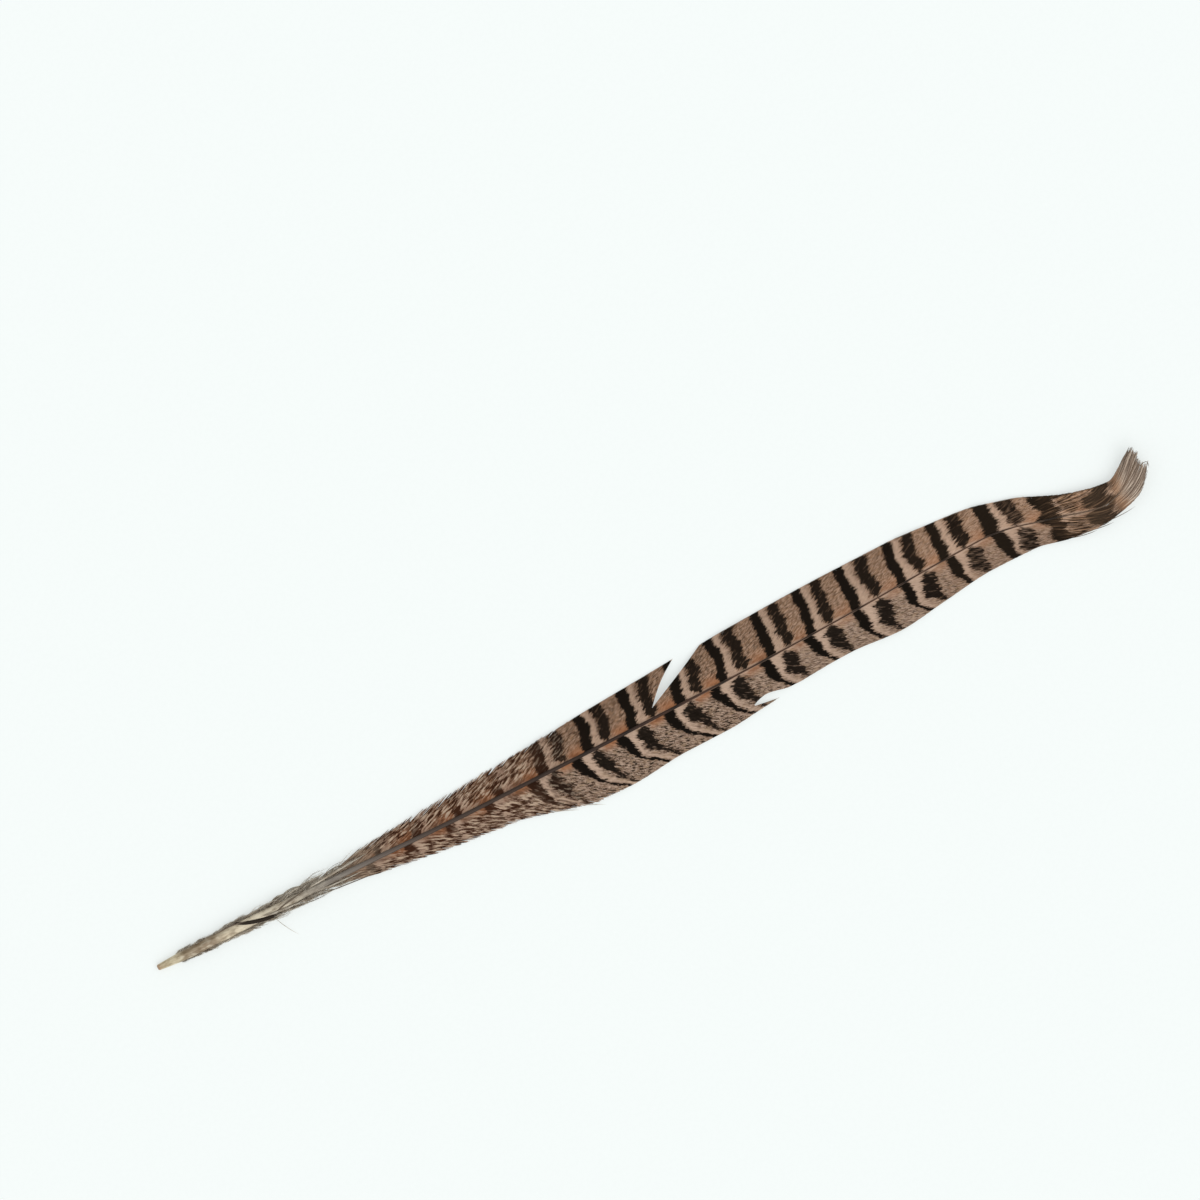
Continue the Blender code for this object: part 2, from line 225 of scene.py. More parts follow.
# A bar thins out away from the shaft: (out, share of its width).
BAR_THIN = {
    LEFT: [(0, 0.95), (2, 1.0), (12, 1.0)],
    RIGHT: [(0, 0.85), (1.5, 1.02), (3.6, 1.02), (4.8, 0.84), (5.8, 0.58), (7.0, 0.42),
            (12.5, 0.36)],
}
SECOND_THIN = {
    LEFT: [(0, 0.10), (0.7, 0.30), (1.5, 1.0), (6.0, 1.0), (12, 0.9)],
    RIGHT: [(0, 0.05), (0.7, 0.25), (1.5, 1.0), (5.2, 1.05), (6.6, 0.62), (8.0, 0.30),
            (12.5, 0.2)],
}
# Half a second bar's width, as a share of the way to the next bar: (along, share).
SECOND_HALF = {
    LEFT: [(60, 0.10), (150, 0.115), (200, 0.120), (240, 0.130)],
    RIGHT: [(60, 0.10), (110, 0.125), (160, 0.130), (200, 0.145), (240, 0.150)],
}


def smooth(table, place):
    """Values on a smooth curve through a table of (place, value)."""
    places, values = np.array(table, float).T
    rises = np.diff(values) / np.diff(places)
    before, after = rises[:-1], rises[1:]
    agree = before * after > 0
    inner = np.where(agree, 2 * before * after / np.where(agree, before + after, 1), 0)
    slopes = np.concatenate((rises[:1], inner, rises[-1:]))
    place = np.clip(place, places[0], places[-1])
    at = np.clip(np.searchsorted(places, place, side="right") - 1, 0, len(rises) - 1)
    gap = places[at + 1] - places[at]
    t = (place - places[at]) / gap
    ease = t * t * (3 - 2 * t)
    bend = slopes[at] * t * (1 - t) ** 2 - slopes[at + 1] * t * t * (1 - t)
    return values[at] + (values[at + 1] - values[at]) * ease + gap * bend


def track(points):
    """Tables of along and across against the share of the way round an edge."""
    reach = [0.0]
    for start, end in zip(points, points[1:]):
        reach.append(reach[-1] + math.dist(start, end))
    return [[(r / reach[-1], p[axis]) for r, p in zip(reach, points)] for axis in (0, 1)]


TRACKS = {side: track(points) for side, points in EDGES.items()}


def edge_point(side, share):
    """Places on a vane's edge at shares of the way from the first lock to the tip."""
    return np.stack([smooth(table, share) for table in TRACKS[side]], axis=-1)


def shaft_frame(along):
    """The shaft's middle at places along it, and its directions forward and to the left."""
    along = np.asarray(along, float)
    step = 0.5
    rise = smooth(ROUTE_ON, along + step) - smooth(ROUTE_ON, along - step)
    turn = np.arctan2(rise, 2 * step)
    height = FLAT_DROP * smooth(SHAFT_HALF_HEIGHT, along) + smooth(SHAFT_ARCH, along)
    middle = np.stack((along, smooth(ROUTE_ON, along), height), axis=-1)
    ahead = np.stack((np.cos(turn), np.sin(turn)), axis=-1)
    left = np.stack((-np.sin(turn), np.cos(turn)), axis=-1)
    return middle, ahead, left


def step_between(value, low, high):
    """0 under low, 1 over high, and an even curve between."""
    t = np.clip((value - low) / (high - low), 0, 1)
    return t * t * (3 - 2 * t)


def bent(first, bend, last, t):
    """A line from a first point to a last one, pulled to a point between."""
    return first * (1 - t) ** 2 + bend * 2 * t * (1 - t) + last * t * t


# --- Blanks, modelled once and copied ----------------------------------------------------


def deselect():
    """Nothing is selected and no object is being edited."""
    if bpy.context.object and bpy.context.object.mode != "OBJECT":
        bpy.ops.object.mode_set(mode="OBJECT")
    bpy.ops.object.select_all(action="DESELECT")


def select_where(thing, kind, test):
    """Selects the vertices, edges or faces of the edited mesh that pass a test."""
    kinds = ("verts", "edges", "faces")
    bpy.context.tool_settings.mesh_select_mode = [kind == k for k in kinds]
    bpy.ops.mesh.select_all(action="DESELECT")
    edited = bmesh.from_edit_mesh(thing.data)
    for part in getattr(edited, kind):
        if test(part):
            part.select_set(True)
    bmesh.update_edit_mesh(thing.data)


def rod(name, sides, cuts, ends):
    """A rod from x = 0 to x = 1, of radius 1, cut across into equal lengths."""
    deselect()
    bpy.ops.mesh.primitive_cylinder_add(
        vertices=sides, radius=1.0, depth=1.0, end_fill_type=ends,
        location=(0.5, 0, 0), rotation=(0, math.pi / 2, 0))
    made = bpy.context.object
    made.name = name
    bpy.ops.object.transform_apply(location=True, rotation=True, scale=True)
    bpy.ops.object.mode_set(mode="EDIT")
    select_where(made, "edges", lambda e: abs(e.verts[0].co.x - e.verts[1].co.x) > 0.5)
    bpy.ops.mesh.subdivide(number_cuts=cuts)
    return made


def pinch(thing, place, share, pitch):
    """Narrows the cross cut at a place along a rod that is being edited."""
    select_where(thing, "verts", lambda v: abs(v.co.x - place) < 0.4 * pitch)
    bpy.ops.transform.resize(value=(1, share, share), center_override=(place, 0, 0))


class Blank:
    """A straight barb as arrays: its points, its faces and its unrolled map."""

    UPPER_SHARE = 0.68      # of the map's height that the upper faces get
    LONG_SHARE = 0.94       # of its length that the long faces get
    CAPS = (0.95, 0.98)     # where the faces at the two ends start, after these
    CAP_RUN = 0.02          # and how far they reach
    AXIS = 1e-6             # a point nearer to the rod's own axis than this lies on it

    def __init__(self, name, sides, cuts, taper):
        """Its taper is how it narrows to its end, given as (cuts from the end, share)."""
        thing = rod(name, sides, cuts, "TRIFAN")
        for back, share in taper:
            pinch(thing, 1 - back / (cuts + 1), share, 1 / (cuts + 1))
        bpy.ops.object.mode_set(mode="OBJECT")
        mesh = thing.data
        self.points = np.array([v.co[:] for v in mesh.vertices])
        self.rings = np.rint(self.points[:, 0] * (cuts + 1)).astype(int)
        self.faces = [tuple(p.vertices) for p in mesh.polygons]
        self.map = np.array([uv for p in mesh.polygons for uv in self.unrolled(p)])
        bpy.data.objects.remove(thing, do_unlink=True)
        bpy.data.meshes.remove(mesh)

    def unrolled(self, polygon):
        """Where a face's corners lie in the blank's unrolled map."""
        corners = self.points[list(polygon.vertices)]
        turns = np.arctan2(corners[:, 2], corners[:, 1])
        radii = np.hypot(corners[:, 1], corners[:, 2])
        middle = corners[radii > self.AXIS].mean(axis=0)
        centre = math.atan2(middle[2], middle[1]) % (2 * math.pi)
        spread = (turns - centre + math.pi) % (2 * math.pi) - math.pi
        angle = np.where(radii > self.AXIS, centre + spread, centre)
        up = np.interp(angle, [0, math.pi, 2 * math.pi], [0, self.UPPER_SHARE, 1])
        if np.ptp(corners[:, 0]) > 1e-4:
            return list(zip(corners[:, 0] * self.LONG_SHARE, up))
        start = self.CAPS[0] if corners[0, 0] < 0.5 else self.CAPS[1]
        return list(zip(start + self.CAP_RUN * (radii < self.AXIS), up))


def lay(blank, lines, halves, rises, drops, tilts):
    """Where the points of a blank come to lie when it is copied along many lines."""
    tangents = np.gradient(lines, axis=1)
    tangents /= np.linalg.norm(tangents, axis=2, keepdims=True)
    sideways = np.stack((-tangents[..., 1], tangents[..., 0], np.zeros(lines.shape[:2])), -1)
    sideways /= np.linalg.norm(sideways, axis=2, keepdims=True)
    upward = np.cross(tangents, sideways)
    lean = np.asarray(tilts)[..., None]
    sideways, upward = (sideways * np.cos(lean) + upward * np.sin(lean),
                        upward * np.cos(lean) - sideways * np.sin(lean))
    rings, (_, wide, high) = blank.rings, blank.points.T
    swell = np.where(high > 0, rises[:, rings], drops[:, rings]) * high
    return (lines[:, rings] + sideways[:, rings] * (halves[:, rings] * wide)[..., None]
            + upward[:, rings] * swell[..., None])


def carry(mesh, shape, marks):
    """Writes named values to a mesh's points, each spread over the points' shape."""
    for mark, values in marks.items():
        layer = mesh.attributes.new(mark, "FLOAT", "POINT")
        spread = np.broadcast_to(np.asarray(values, np.float32), shape)
        layer.data.foreach_set("value", spread.ravel())


MAP_MARGINS = np.array((0.01, 0.04))    # round each copy in the map, as shares of its cell


def build(name, blank, places, columns, marks, creased=False):
    """One mesh of many copies of a blank, with its marks and its map for the bake."""
    count, size = places.shape[:2]
    places = places - np.array([ORIGIN_ALONG, ORIGIN_ACROSS, 0.0])
    faces = [tuple(start + v for v in face)
             for start in range(0, count * size, size) for face in blank.faces]
    mesh = bpy.data.meshes.new(name)
    mesh.from_pydata((places.reshape(-1, 3) * MM).tolist(), [], faces)
    carry(mesh, (count, size), marks)
    rows = math.ceil(count / columns)
    cells = np.stack(np.divmod(np.arange(count), rows), axis=-1)[:, None]
    spots = (cells + MAP_MARGINS + (1 - 2 * MAP_MARGINS) * blank.map) / (columns, rows)
    uv = mesh.uv_layers.new(name="OFBake")
    uv.data.foreach_set("uv", spots.astype(np.float32).ravel())
    mesh.shade_smooth()
    if creased:
        mesh.set_sharp_from_angle(angle=CREASE)
    thing = bpy.data.objects.new(name, mesh)
    bpy.context.scene.collection.objects.link(thing)
    return thing


# --- Where the locks, tufts and barbs lie ------------------------------------------------


def down_plan(rng):
    """The tufts of down on one side: (place, lean, length, lift), as in the solid."""
    tufts = []
    first, more, most = DOWN_GROWTH
    for index in range(TUFTS):
        share = index / (TUFTS - 1)
        place = DOWN_START + (DOWN_END - DOWN_START) * share
        lean = DOWN_LEAN[0] + (DOWN_LEAN[1] - DOWN_LEAN[0]) * share
        lean = lean + rng.uniform(-LEAN_PLAY, LEAN_PLAY)
        place = place + rng.uniform(-TUFT_PLAY, TUFT_PLAY)
        length = rng.uniform(*DOWN_LENGTH) * (first + more * share + most * share ** 2)
        lift = rng.uniform(0, DOWN_LIFT) * (index % 2)
        tufts.append((place, lean, length, lift))
    return tufts


def lock_plan(side, rng):
    """The locks of one vane: where they part, how deep and how high, as in the solid."""
    offset = 0.0 if side == LEFT else STAGGER
    places = []
    for index in range(LOCKS):
        play = offset + rng.uniform(-LOCK_PLAY, LOCK_PLAY)
        play = play * min(1, (LOCKS - index) / EVEN_LOCKS)
        places.append(VANE_START + VANE_LENGTH / LOCKS * (index + play))
    depths = [float(smooth(LOCK_DEPTH, place)) * rng.uniform(*DEPTH_PLAY) for place in places]
    split, depth = SPLITS[side][:2]
    nearest = min(range(LOCKS), key=lambda i: abs(places[i] - split))
    places[nearest], depths[nearest] = split, depth
    lifts = [EDGE_LIFT * max(0.0, rng.uniform(*LIFT_PLAY)) for _ in places]
    return np.array(places), np.array(depths), np.array(lifts)


def split_push(side, along, shares):
    """How far a vane's deep split pushes barbs forward, at each share of the way out."""
    place, depth, back, forward = SPLITS[side]
    near = np.exp(-abs(along - place) / SPLIT_REACH)
    opening = np.sin(np.pi / 2 * np.clip((shares - 1 + depth) / depth, 0, 1))
    return (np.where(along > place, forward, -back) * near)[:, None] * opening


def barb_lines(side, roots, shares, slips, lifts):
    """The middle lines of barbs: barb by barb, point by point, (along, across, height)."""
    middle, ahead, left = shaft_frame(roots)
    inside = side * ROOT_INSIDE * smooth(SHAFT_HALF_WIDTH, roots)
    root = middle[:, :2] + left * inside[:, None]
    share = smooth(BARB_ENDS[side], roots) + slips / VANE_LENGTH
    end = edge_point(side, np.clip(share, 0, 1))
    chord = end - root
    lead = (chord * ahead).sum(axis=1, keepdims=True)
    width = (chord * left).sum(axis=1, keepdims=True)
    bend = root + ahead * lead * BARB_BEND + left * width * (1 - BARB_BEND)
    plan = (bent(root[:, None], bend[:, None], end[:, None], shares[..., None])
            + ahead[:, None] * split_push(side, roots, shares)[..., None])
    foot = middle[:, 2][:, None]
    high = (smooth(EDGE_HEIGHT, end[:, 0]) + lifts)[:, None]
    height = foot + (high - foot) * shares ** DROOP
    return np.concatenate((plan, height[..., None]), axis=2)


def vane_widths(side):
    """How wide the vane is, square to the shaft: a table of (along, width) near the tip."""
    places = np.linspace(FLOW_FROM - 25, ROUTE_ON[-1][0], 150)
    middle, ahead, left = shaft_frame(places)
    away = edge_point(side, np.linspace(0, 1, 3000))[None] - middle[:, None, :2]
    forward = abs((away * ahead[:, None]).sum(axis=-1))
    outward = side * (away * left[:, None]).sum(axis=-1)
    fair = (outward > 0.3) & (outward < 20)
    nearest = np.where(fair, forward, 99).argmin(axis=1)
    widths = outward[np.arange(len(places)), nearest]
    held = np.interp(BLUNT_FROM[side], places, widths)
    return np.column_stack((places, np.where(places > BLUNT_FROM[side], held, widths)))


def flow_lines(side, roots, shares, slips, lifts, rags):
    """The lines of the last barbs, which run beside the shaft and turn with it to the tip."""
    table = vane_widths(side)
    lead = smooth(FLOW_LEAD, roots)
    last = roots + lead + slips
    for _ in range(4):
        share = np.clip((last - roots) / lead, 0, 1) ** FLOW_BEND
        widths = np.interp(last, table[:, 0], table[:, 1]) * share
        last = np.minimum(last, smooth(TIP_END[side], widths) + rags)
    along = roots[:, None] + (last - roots)[:, None] * shares
    share = np.clip((along - roots[:, None]) / lead[:, None], 0, 1) ** FLOW_BEND
    middle, _, left = shaft_frame(along)
    inside = ROOT_INSIDE * smooth(SHAFT_HALF_WIDTH, along)
    out = inside + (np.interp(along, table[:, 0], table[:, 1]) - inside) * share
    plan = middle[..., :2] + side * left * out[..., None]
    high = smooth(EDGE_HEIGHT, plan[..., 0]) + lifts[:, None]
    height = middle[..., 2] + (high - middle[..., 2]) * share ** DROOP
    return np.concatenate((plan, height[..., None]), axis=2)


def clumps(rng, count, smallest, largest):
    """Runs of neighbouring barbs that hang together: the clump that each barb is in."""
    owner = []
    while len(owner) < count:
        owner += [owner[-1] + 1 if owner else 0] * rng.randint(smallest, largest)
    return np.array(owner[:count])


def run_to_point(side, lines, shares, before_split):
    """Draws the barbs just before a split out, so that their lock ends in a point."""
    run = np.clip((shares - 0.8) / 0.2, 0, 1) ** 3
    lines[..., 0] += POINT_RUN * before_split[:, None] * run
    aside = step_between(shares, 0.75, 1.0)
    lines[..., 1] -= side * POINT_ASIDE * before_split[:, None] * aside


def curl_ends(side, lines, roots, loose, pitch):
    """Lets the ends of zipped barbs run on along the vane's edge, but not over a split."""
    edge = np.gradient(lines[:, -1, :2], axis=0)
    edge *= np.minimum(1, EDGE_MOST / np.linalg.norm(edge, axis=1, keepdims=True))
    curl = np.maximum(0, 1 - 2.5 * loose)[:, None]
    curl[abs(roots - SPLITS[side][0]) < 1.5 * pitch] = 0
    lines[:, -2, :2] += 0.8 * curl * (lines[:, -1, :2] - lines[:, -2, :2])
    lines[:, -1, :2] += EDGE_CURL * curl * edge


def combed_barbs(side, locks, rng, start, end, pitch, shorter=1.0, lower=0.0):
    """The lines of one layer of barbs, gathered into the vane's locks and clumps."""
    places, depths, lifts = locks
    roots = np.arange(start, end, pitch)
    count = len(roots)
    play = np.array([rng.uniform(-1, 1) for _ in range(6 * count)]).reshape(6, count)
    root_play, length_play, height_play, tone, wave_start, slip_play = play
    roots = roots + ROOT_PLAY * pitch * root_play
    loose = smooth(LOOSENESS[side], roots)
    slack = np.maximum(0, loose - ZIPPED)

    # The lock that each barb is in: q is its place there, from 0 to 1.
    lock = np.clip(np.searchsorted(places, roots, side="right") - 1, 0, LOCKS - 1)
    ends = np.append(places[1:], VANE_END)
    q = np.clip((roots - places[lock]) / (ends[lock] - places[lock]), 0, 1)
    depth = np.where(q < 0.5, depths[lock], depths[np.minimum(lock + 1, LOCKS - 1)])
    always, by_lift, by_slack = GATHER
    gather = (always + by_lift * lifts[lock] + by_slack * slack) * (1 - 2 * q) ** 3
    near = np.exp(-np.minimum(q, 1 - q) * (ends[lock] - places[lock]) / 0.35)
    lift = lifts[lock] * (1 - 0.5 * near)

    # The clump, and how far the two of them draw a barb's end along.
    owner = clumps(rng, count, *CLUMP)
    middle = np.array([roots[owner == o].mean() for o in range(owner[-1] + 1)])
    sway, trim, raised = [np.array([rng.uniform(-1, 1) for _ in middle]) for _ in range(3)]
    pull = (middle[owner] - roots) * CLUMP_PULL * loose + SLACK_SWAY * slack * sway[owner]
    slips = gather + pull + SLACK_SWAY * slack * slip_play
    ragged = (CLUMP_RAGGED * slack * (1 + trim[owner])
              + (BARB_RAGGED[0] + BARB_RAGGED[1] * slack) * abs(length_play))
    length = shorter * (1 - ragged)
    before_split = np.zeros(count)
    if side == RIGHT:
        from_split = roots - SPLITS[RIGHT][0]
        before_split = np.where(from_split < 0, np.exp(from_split / POINT_REACH), 0)
        length = length * np.where(from_split < 0, 1, smooth(SHORT_AFTER, from_split))
    shares = np.linspace(0, 1, BARB_CUTS + 2)[None] * length[:, None]

    # The barbs part only as far in as their lock's depth.
    straight = barb_lines(side, roots, shares, np.zeros(count), lift)
    pulled = barb_lines(side, roots, shares, slips, lift)
    opens = np.maximum(0.0, 1 - 1.7 * depth - 0.55 * loose)[:, None]
    blend = step_between(shares, opens, 1.02)[..., None]
    lines = straight + (pulled - straight) * blend
    beside = step_between(roots, FLOW_FROM, FLOW_ALL)[:, None, None]
    if beside.max() > 0:
        rags = 0.5 - abs(length_play) - 0.5 * (1 + trim[owner])
        even = shares / shares[:, -1:]
        flowing = flow_lines(side, roots, even, np.zeros(count), lift, rags)
        swayed = flow_lines(side, roots, even, slips * 0.8, lift, rags)
        flowing = flowing + (swayed - flowing) * step_between(even, 0.2, 1.0)[..., None]
        lines = lines + (flowing - lines) * beside

    # Each clump's and each barb's own height and waves.
    height = 0.02 * height_play + CLUMP_RAISED * loose * raised[owner]
    lines[..., 2] += height[:, None] * shares ** 2
    lines[..., 2] -= lower
    run_to_point(side, lines, shares, before_split)
    curl_ends(side, lines, roots, loose, pitch)
    wave = np.sin(shares * (5 + 3 * tone)[:, None] + 3 * wave_start[:, None])
    wave = (LINE_WAVE[0] + LINE_WAVE[1] * loose)[:, None] * shares * wave
    lines[..., 0] += wave * 0.5
    lines[..., 1] += wave * side * 0.5
    lines[..., 2] = np.maximum(lines[..., 2], LOWEST)
    return roots, loose, shares, lines, tone


def room(lines):
    """Half the room that each barb has between its neighbours, at each of its points."""
    tangents = np.gradient(lines[..., :2], axis=1)
    tangents /= np.linalg.norm(tangents, axis=2, keepdims=True)
    gaps = np.diff(lines[..., :2], axis=0)
    apart = abs(gaps[..., 0] * tangents[1:, :, 1] - gaps[..., 1] * tangents[1:, :, 0])
    before = np.concatenate((apart[:1], apart))
    after = np.concatenate((apart, apart[-1:]))
    return 0.25 * (np.minimum(before, 2 * after) + np.minimum(after, 2 * before))


def bar_marks(side, along, across):
    """Where each point lies among the bars: their numbers, their widths and how far out."""
    out = abs(across - smooth(ROUTE_ON, along))
    left_over = smooth(SLANT_LEFT, along)
    bars = BARS[side]
    numbers = np.arange(len(bars)) + FIRST_BAR
    main = np.interp(along - left_over * smooth(BAR_SLANT[side], out), bars, numbers)
    second = np.interp(along - left_over * smooth(SECOND_SLANT[side], out), bars, numbers)
    thin = smooth(BAR_THIN[side], out)
    thin = thin + (1 - thin) * step_between(along, 222, 245)
    girth = smooth(BAR_HALF[side], along) * thin
    blotch = smooth(SECOND_HALF[side], along) * smooth(SECOND_THIN[side], out)
    return {"band": main, "second": second, "girth": girth, "blotch": blotch, "out": out}


def vane(name, side, locks, rng):
    """One vane: a blank barb copied along every barb's line, over an under layer that its finish
    darkens as painted shade.
    """
    blank = Blank(name + "_barb", 4, BARB_CUTS, [(2, 0.95), (1, 0.85), (0, 0.40)])
    layers = [combed_barbs(side, locks, rng, VANE_START + 0.3, VANE_END - 0.1, BARB_PITCH)]
    for start, end, shorter, lower in UNDER_LAYERS:
        layers.append(combed_barbs(side, locks, rng, start, end, UNDER_PITCH, shorter, lower))
    halves, depths, spans = [], [], []
    for index, (roots, loose, shares, lines, _) in enumerate(layers):
        under = min(index, 1)
        own_room = room(lines)
        half = np.minimum(own_room * BARB_OVERLAP, BARB_WIDEST)
        half = half * (1 - 0.35 * loose * (1 - under * 0.5))[:, None]
        halves.append(np.maximum(half, BARB_THINNEST))
        # the under layer is marked so that its finish darkens it as painted shade
        depths.append(np.full(len(roots), float(under)))
        spans.append((BARB_PITCH, UNDER_PITCH)[under] / np.maximum(2 * own_room, 0.02))
    roots, loose, shares, lines, tone = [np.concatenate(x) for x in zip(*layers)]
    halves, depth, spans = [np.concatenate(x) for x in (halves, depths, spans)]
    thin = np.linspace(0, 1, BARB_CUTS + 2)[None] * np.ones((len(roots), 1))
    rises = RIDGE * (1 - 0.4 * thin)
    drops = KEEL[0] + (KEEL[1] - KEEL[0]) * thin
    tilts = (BARB_TILT * side + 0.03 * tone)[:, None] * np.ones_like(thin)
    places = lay(blank, lines, halves, rises, drops, tilts)
    steps = np.linalg.norm(np.diff(lines, axis=1), axis=2)
    reach = np.concatenate((np.zeros((len(roots), 1)), np.cumsum(steps, axis=1)), axis=1)
    rings, (_, wide, high) = blank.rings, blank.points.T
    aside = np.clip(halves[:, rings] * wide * spans[:, rings], -0.4, 0.4)
    marks = bar_marks(side, places[..., 0], places[..., 1])
    marks.update(
        root=roots[:, None] - side * aside, reach=reach[:, rings], share=shares[:, rings],
        tone=tone[:, None], loose=loose[:, None], depth=depth[:, None], rib=wide,
        under=high < -0.1)
    return build(name, blank, places, 4, marks, True)


# --- The shaft ---------------------------------------------------------------------------

SHAFT_SIDES, SHAFT_CUTS = 16, 100       # the most cuts that Blender's subdivide makes
SHAFT_CREASE = math.radians(50)
QUILL_RIM = 0.3             # how far the quill's rim rounds over
# Round the quill's rim and into its pit: (width against the step before, how far on),
# the rim's as shares of QUILL_RIM.
RIM_STEPS = [(0.90, -0.7), (0.86, -0.3), (PIT_SHARE / (0.90 * 0.86), 0.0)]
PIT_STEPS = [(0.9, 0.5), (0.6, PIT_DEPTH)]


def shaft(name):
    """The quill and shaft: a rod with a pit in its end, laid along the shaft's route."""
    made = rod(name, SHAFT_SIDES, SHAFT_CUTS, "NGON")
    select_where(made, "faces", lambda f: len(f.verts) == SHAFT_SIDES
                 and f.calc_center_median().x < 0.5)
    bpy.ops.transform.translate(value=(QUILL_RIM / SHAFT_LENGTH, 0, 0))
    rim_steps = [(share, QUILL_RIM * run) for share, run in RIM_STEPS]
    for share, run in rim_steps + PIT_STEPS:
        bpy.ops.mesh.extrude_region_move()
        bpy.ops.transform.resize(value=(1, share, share), center_override=(0, 0, 0))
        bpy.ops.transform.translate(value=(run / SHAFT_LENGTH, 0, 0))
    pinch(made, 1.0, 0.45, 1 / SHAFT_CUTS)
    bpy.ops.object.mode_set(mode="OBJECT")
    mesh = made.data
    spots = np.array([v.co[:] for v in mesh.vertices])
    along = QUILL_END + spots[:, 0] * SHAFT_LENGTH
    side, up = spots[:, 1], spots[:, 2]
    middle, _, left = shaft_frame(along)
    wide, high = smooth(SHAFT_HALF_WIDTH, along), smooth(SHAFT_HALF_HEIGHT, along)
    groove = 0.30 * np.exp(-(side / 0.3) ** 2) * (up < -0.5) * step_between(along, 12, 40)
    up = np.maximum(up, -FLAT_DROP * np.maximum(1.0, abs(up))) + groove
    plan = middle[:, :2] + left * (side * wide)[:, None]
    height = middle[:, 2] + up * high
    places = np.column_stack((plan[:, 0] - ORIGIN_ALONG, plan[:, 1] - ORIGIN_ACROSS, height))
    mesh.vertices.foreach_set("co", (places * MM).astype(np.float32).ravel())
    inner = (np.hypot(*spots[:, 1:].T) < 0.6) & (along < QUILL_END + PIT_DEPTH + 1)
    bars = (np.array(BARS[LEFT]) + np.array(BARS[RIGHT])) / 2
    number = np.interp(along, bars, np.arange(len(bars)))
    from_bar = abs(number - np.rint(number)) / smooth(BAR_HALF[LEFT], along)
    in_bar = 1 - step_between(from_bar, 0.8, 1.4)
    carry(mesh, along.shape,
          {"along": along, "side": side, "up": up, "pit": inner, "bar": in_bar})
    mesh.update()
    mesh.shade_smooth()
    mesh.set_sharp_from_angle(angle=SHAFT_CREASE)
    return made


# --- The down ----------------------------------------------------------------------------

DOWN_BARBS = 16             # in a tuft
DOWN_CUTS = 11
DOWN_THICK = 0.05           # the most that half a down barb's thickness may be
MATTED = 4                  # one barb in so many is a broad, matted strand
# Matted strands and the other barbs: half their width, how far out of their tuft's lean
# they may start in degrees, how long they are against the tuft, and how high the highest
# ends against the shaft's middle.
MATTED_KIND = ((0.16, 0.42), 4, (1.0, 1.8), 0.7)
LOOSE_KIND = ((0.03, 0.07), 14, (0.8, 1.7), 1.5)
DOWN_PLAY = 1.7             # how far from a tuft's place its barbs are rooted
LAST_TUFTS, LAST_PLAY = 44.0, 6.0       # from here on, and how far on they reach there
BARBULES = 18               # along each side of a down barb
BARBULE_CUTS = 1
BARBULE_LENGTH = (0.25, 0.80)
BARBULE_HALF = 0.016        # half a barbule's width at its root


def down_marks(blank, places, halves, tone):
    """What the finish of down reads, for copies of a blank with these widths and tones."""
    return {"tone": tone, "share": blank.points[:, 0], "along": places[..., 0],
            "rib": halves[:, blank.rings] * blank.points[:, 1]}


def down(name, side, tufts, rng):
    """The matted down beside the quill: barbs and strands with a fringe of finer barbules."""
    lines, halves = [], []
    points = DOWN_CUTS + 2
    t = np.linspace(0, 1, points)
    for place, lean, length, lift in tufts:
        onward = LAST_PLAY if place > LAST_TUFTS else DOWN_PLAY
        for index in range(DOWN_BARBS):
            wide, out_most, long, high = LOOSE_KIND if index % MATTED else MATTED_KIND
            along = place + rng.uniform(-DOWN_PLAY, onward)
            middle, ahead, left = shaft_frame(along)
            half = float(smooth(SHAFT_HALF_WIDTH, along))
            first = math.radians(lean + rng.uniform(-10, out_most))
            last = math.radians(rng.uniform(-2, 10))
            reach = length * rng.uniform(*long)
            angle = first + (last - first) * np.minimum(1, t * 1.5)
            angle = angle + 0.22 * np.sin(t * rng.uniform(3, 9) + rng.uniform(0, 6))
            run = np.stack((np.cos(angle), np.sin(angle)), -1) * reach / (points - 1)
            run = np.concatenate((np.zeros((1, 2)), np.cumsum(run[:-1], axis=0)))
            plan = (middle[:2] + left * side * half * 0.8 + run[:, :1] * ahead
                    + run[:, 1:] * side * left)
            top = middle[2] * rng.uniform(0.1, high) + lift * rng.uniform(0, 0.8)
            height = middle[2] + (max(0.2, top) - middle[2]) * np.minimum(1, t * 1.8) ** 1.2
            lines.append(np.column_stack((plan, height)))
            widest = rng.uniform(*wide)
            halves.append(widest * (0.5 + 0.5 * np.minimum(1, 5 * t)) * (1 - 0.7 * t * t))
    lines, halves = np.array(lines), np.array(halves)
    blank = Blank(name + "_barb", 4, DOWN_CUTS, [(1, 0.8), (0, 0.3)])
    thick = np.minimum(halves, DOWN_THICK)
    places = lay(blank, lines, halves, thick, thick, 0.5 * np.sin(3 * lines[..., 0]))
    tone = np.array([rng.uniform(-1, 1) for _ in lines])
    barbs = build(name, blank, places, 4, down_marks(blank, places, halves, tone[:, None]))
    return barbs, barbules(name + "_fringe", lines, tone, rng)


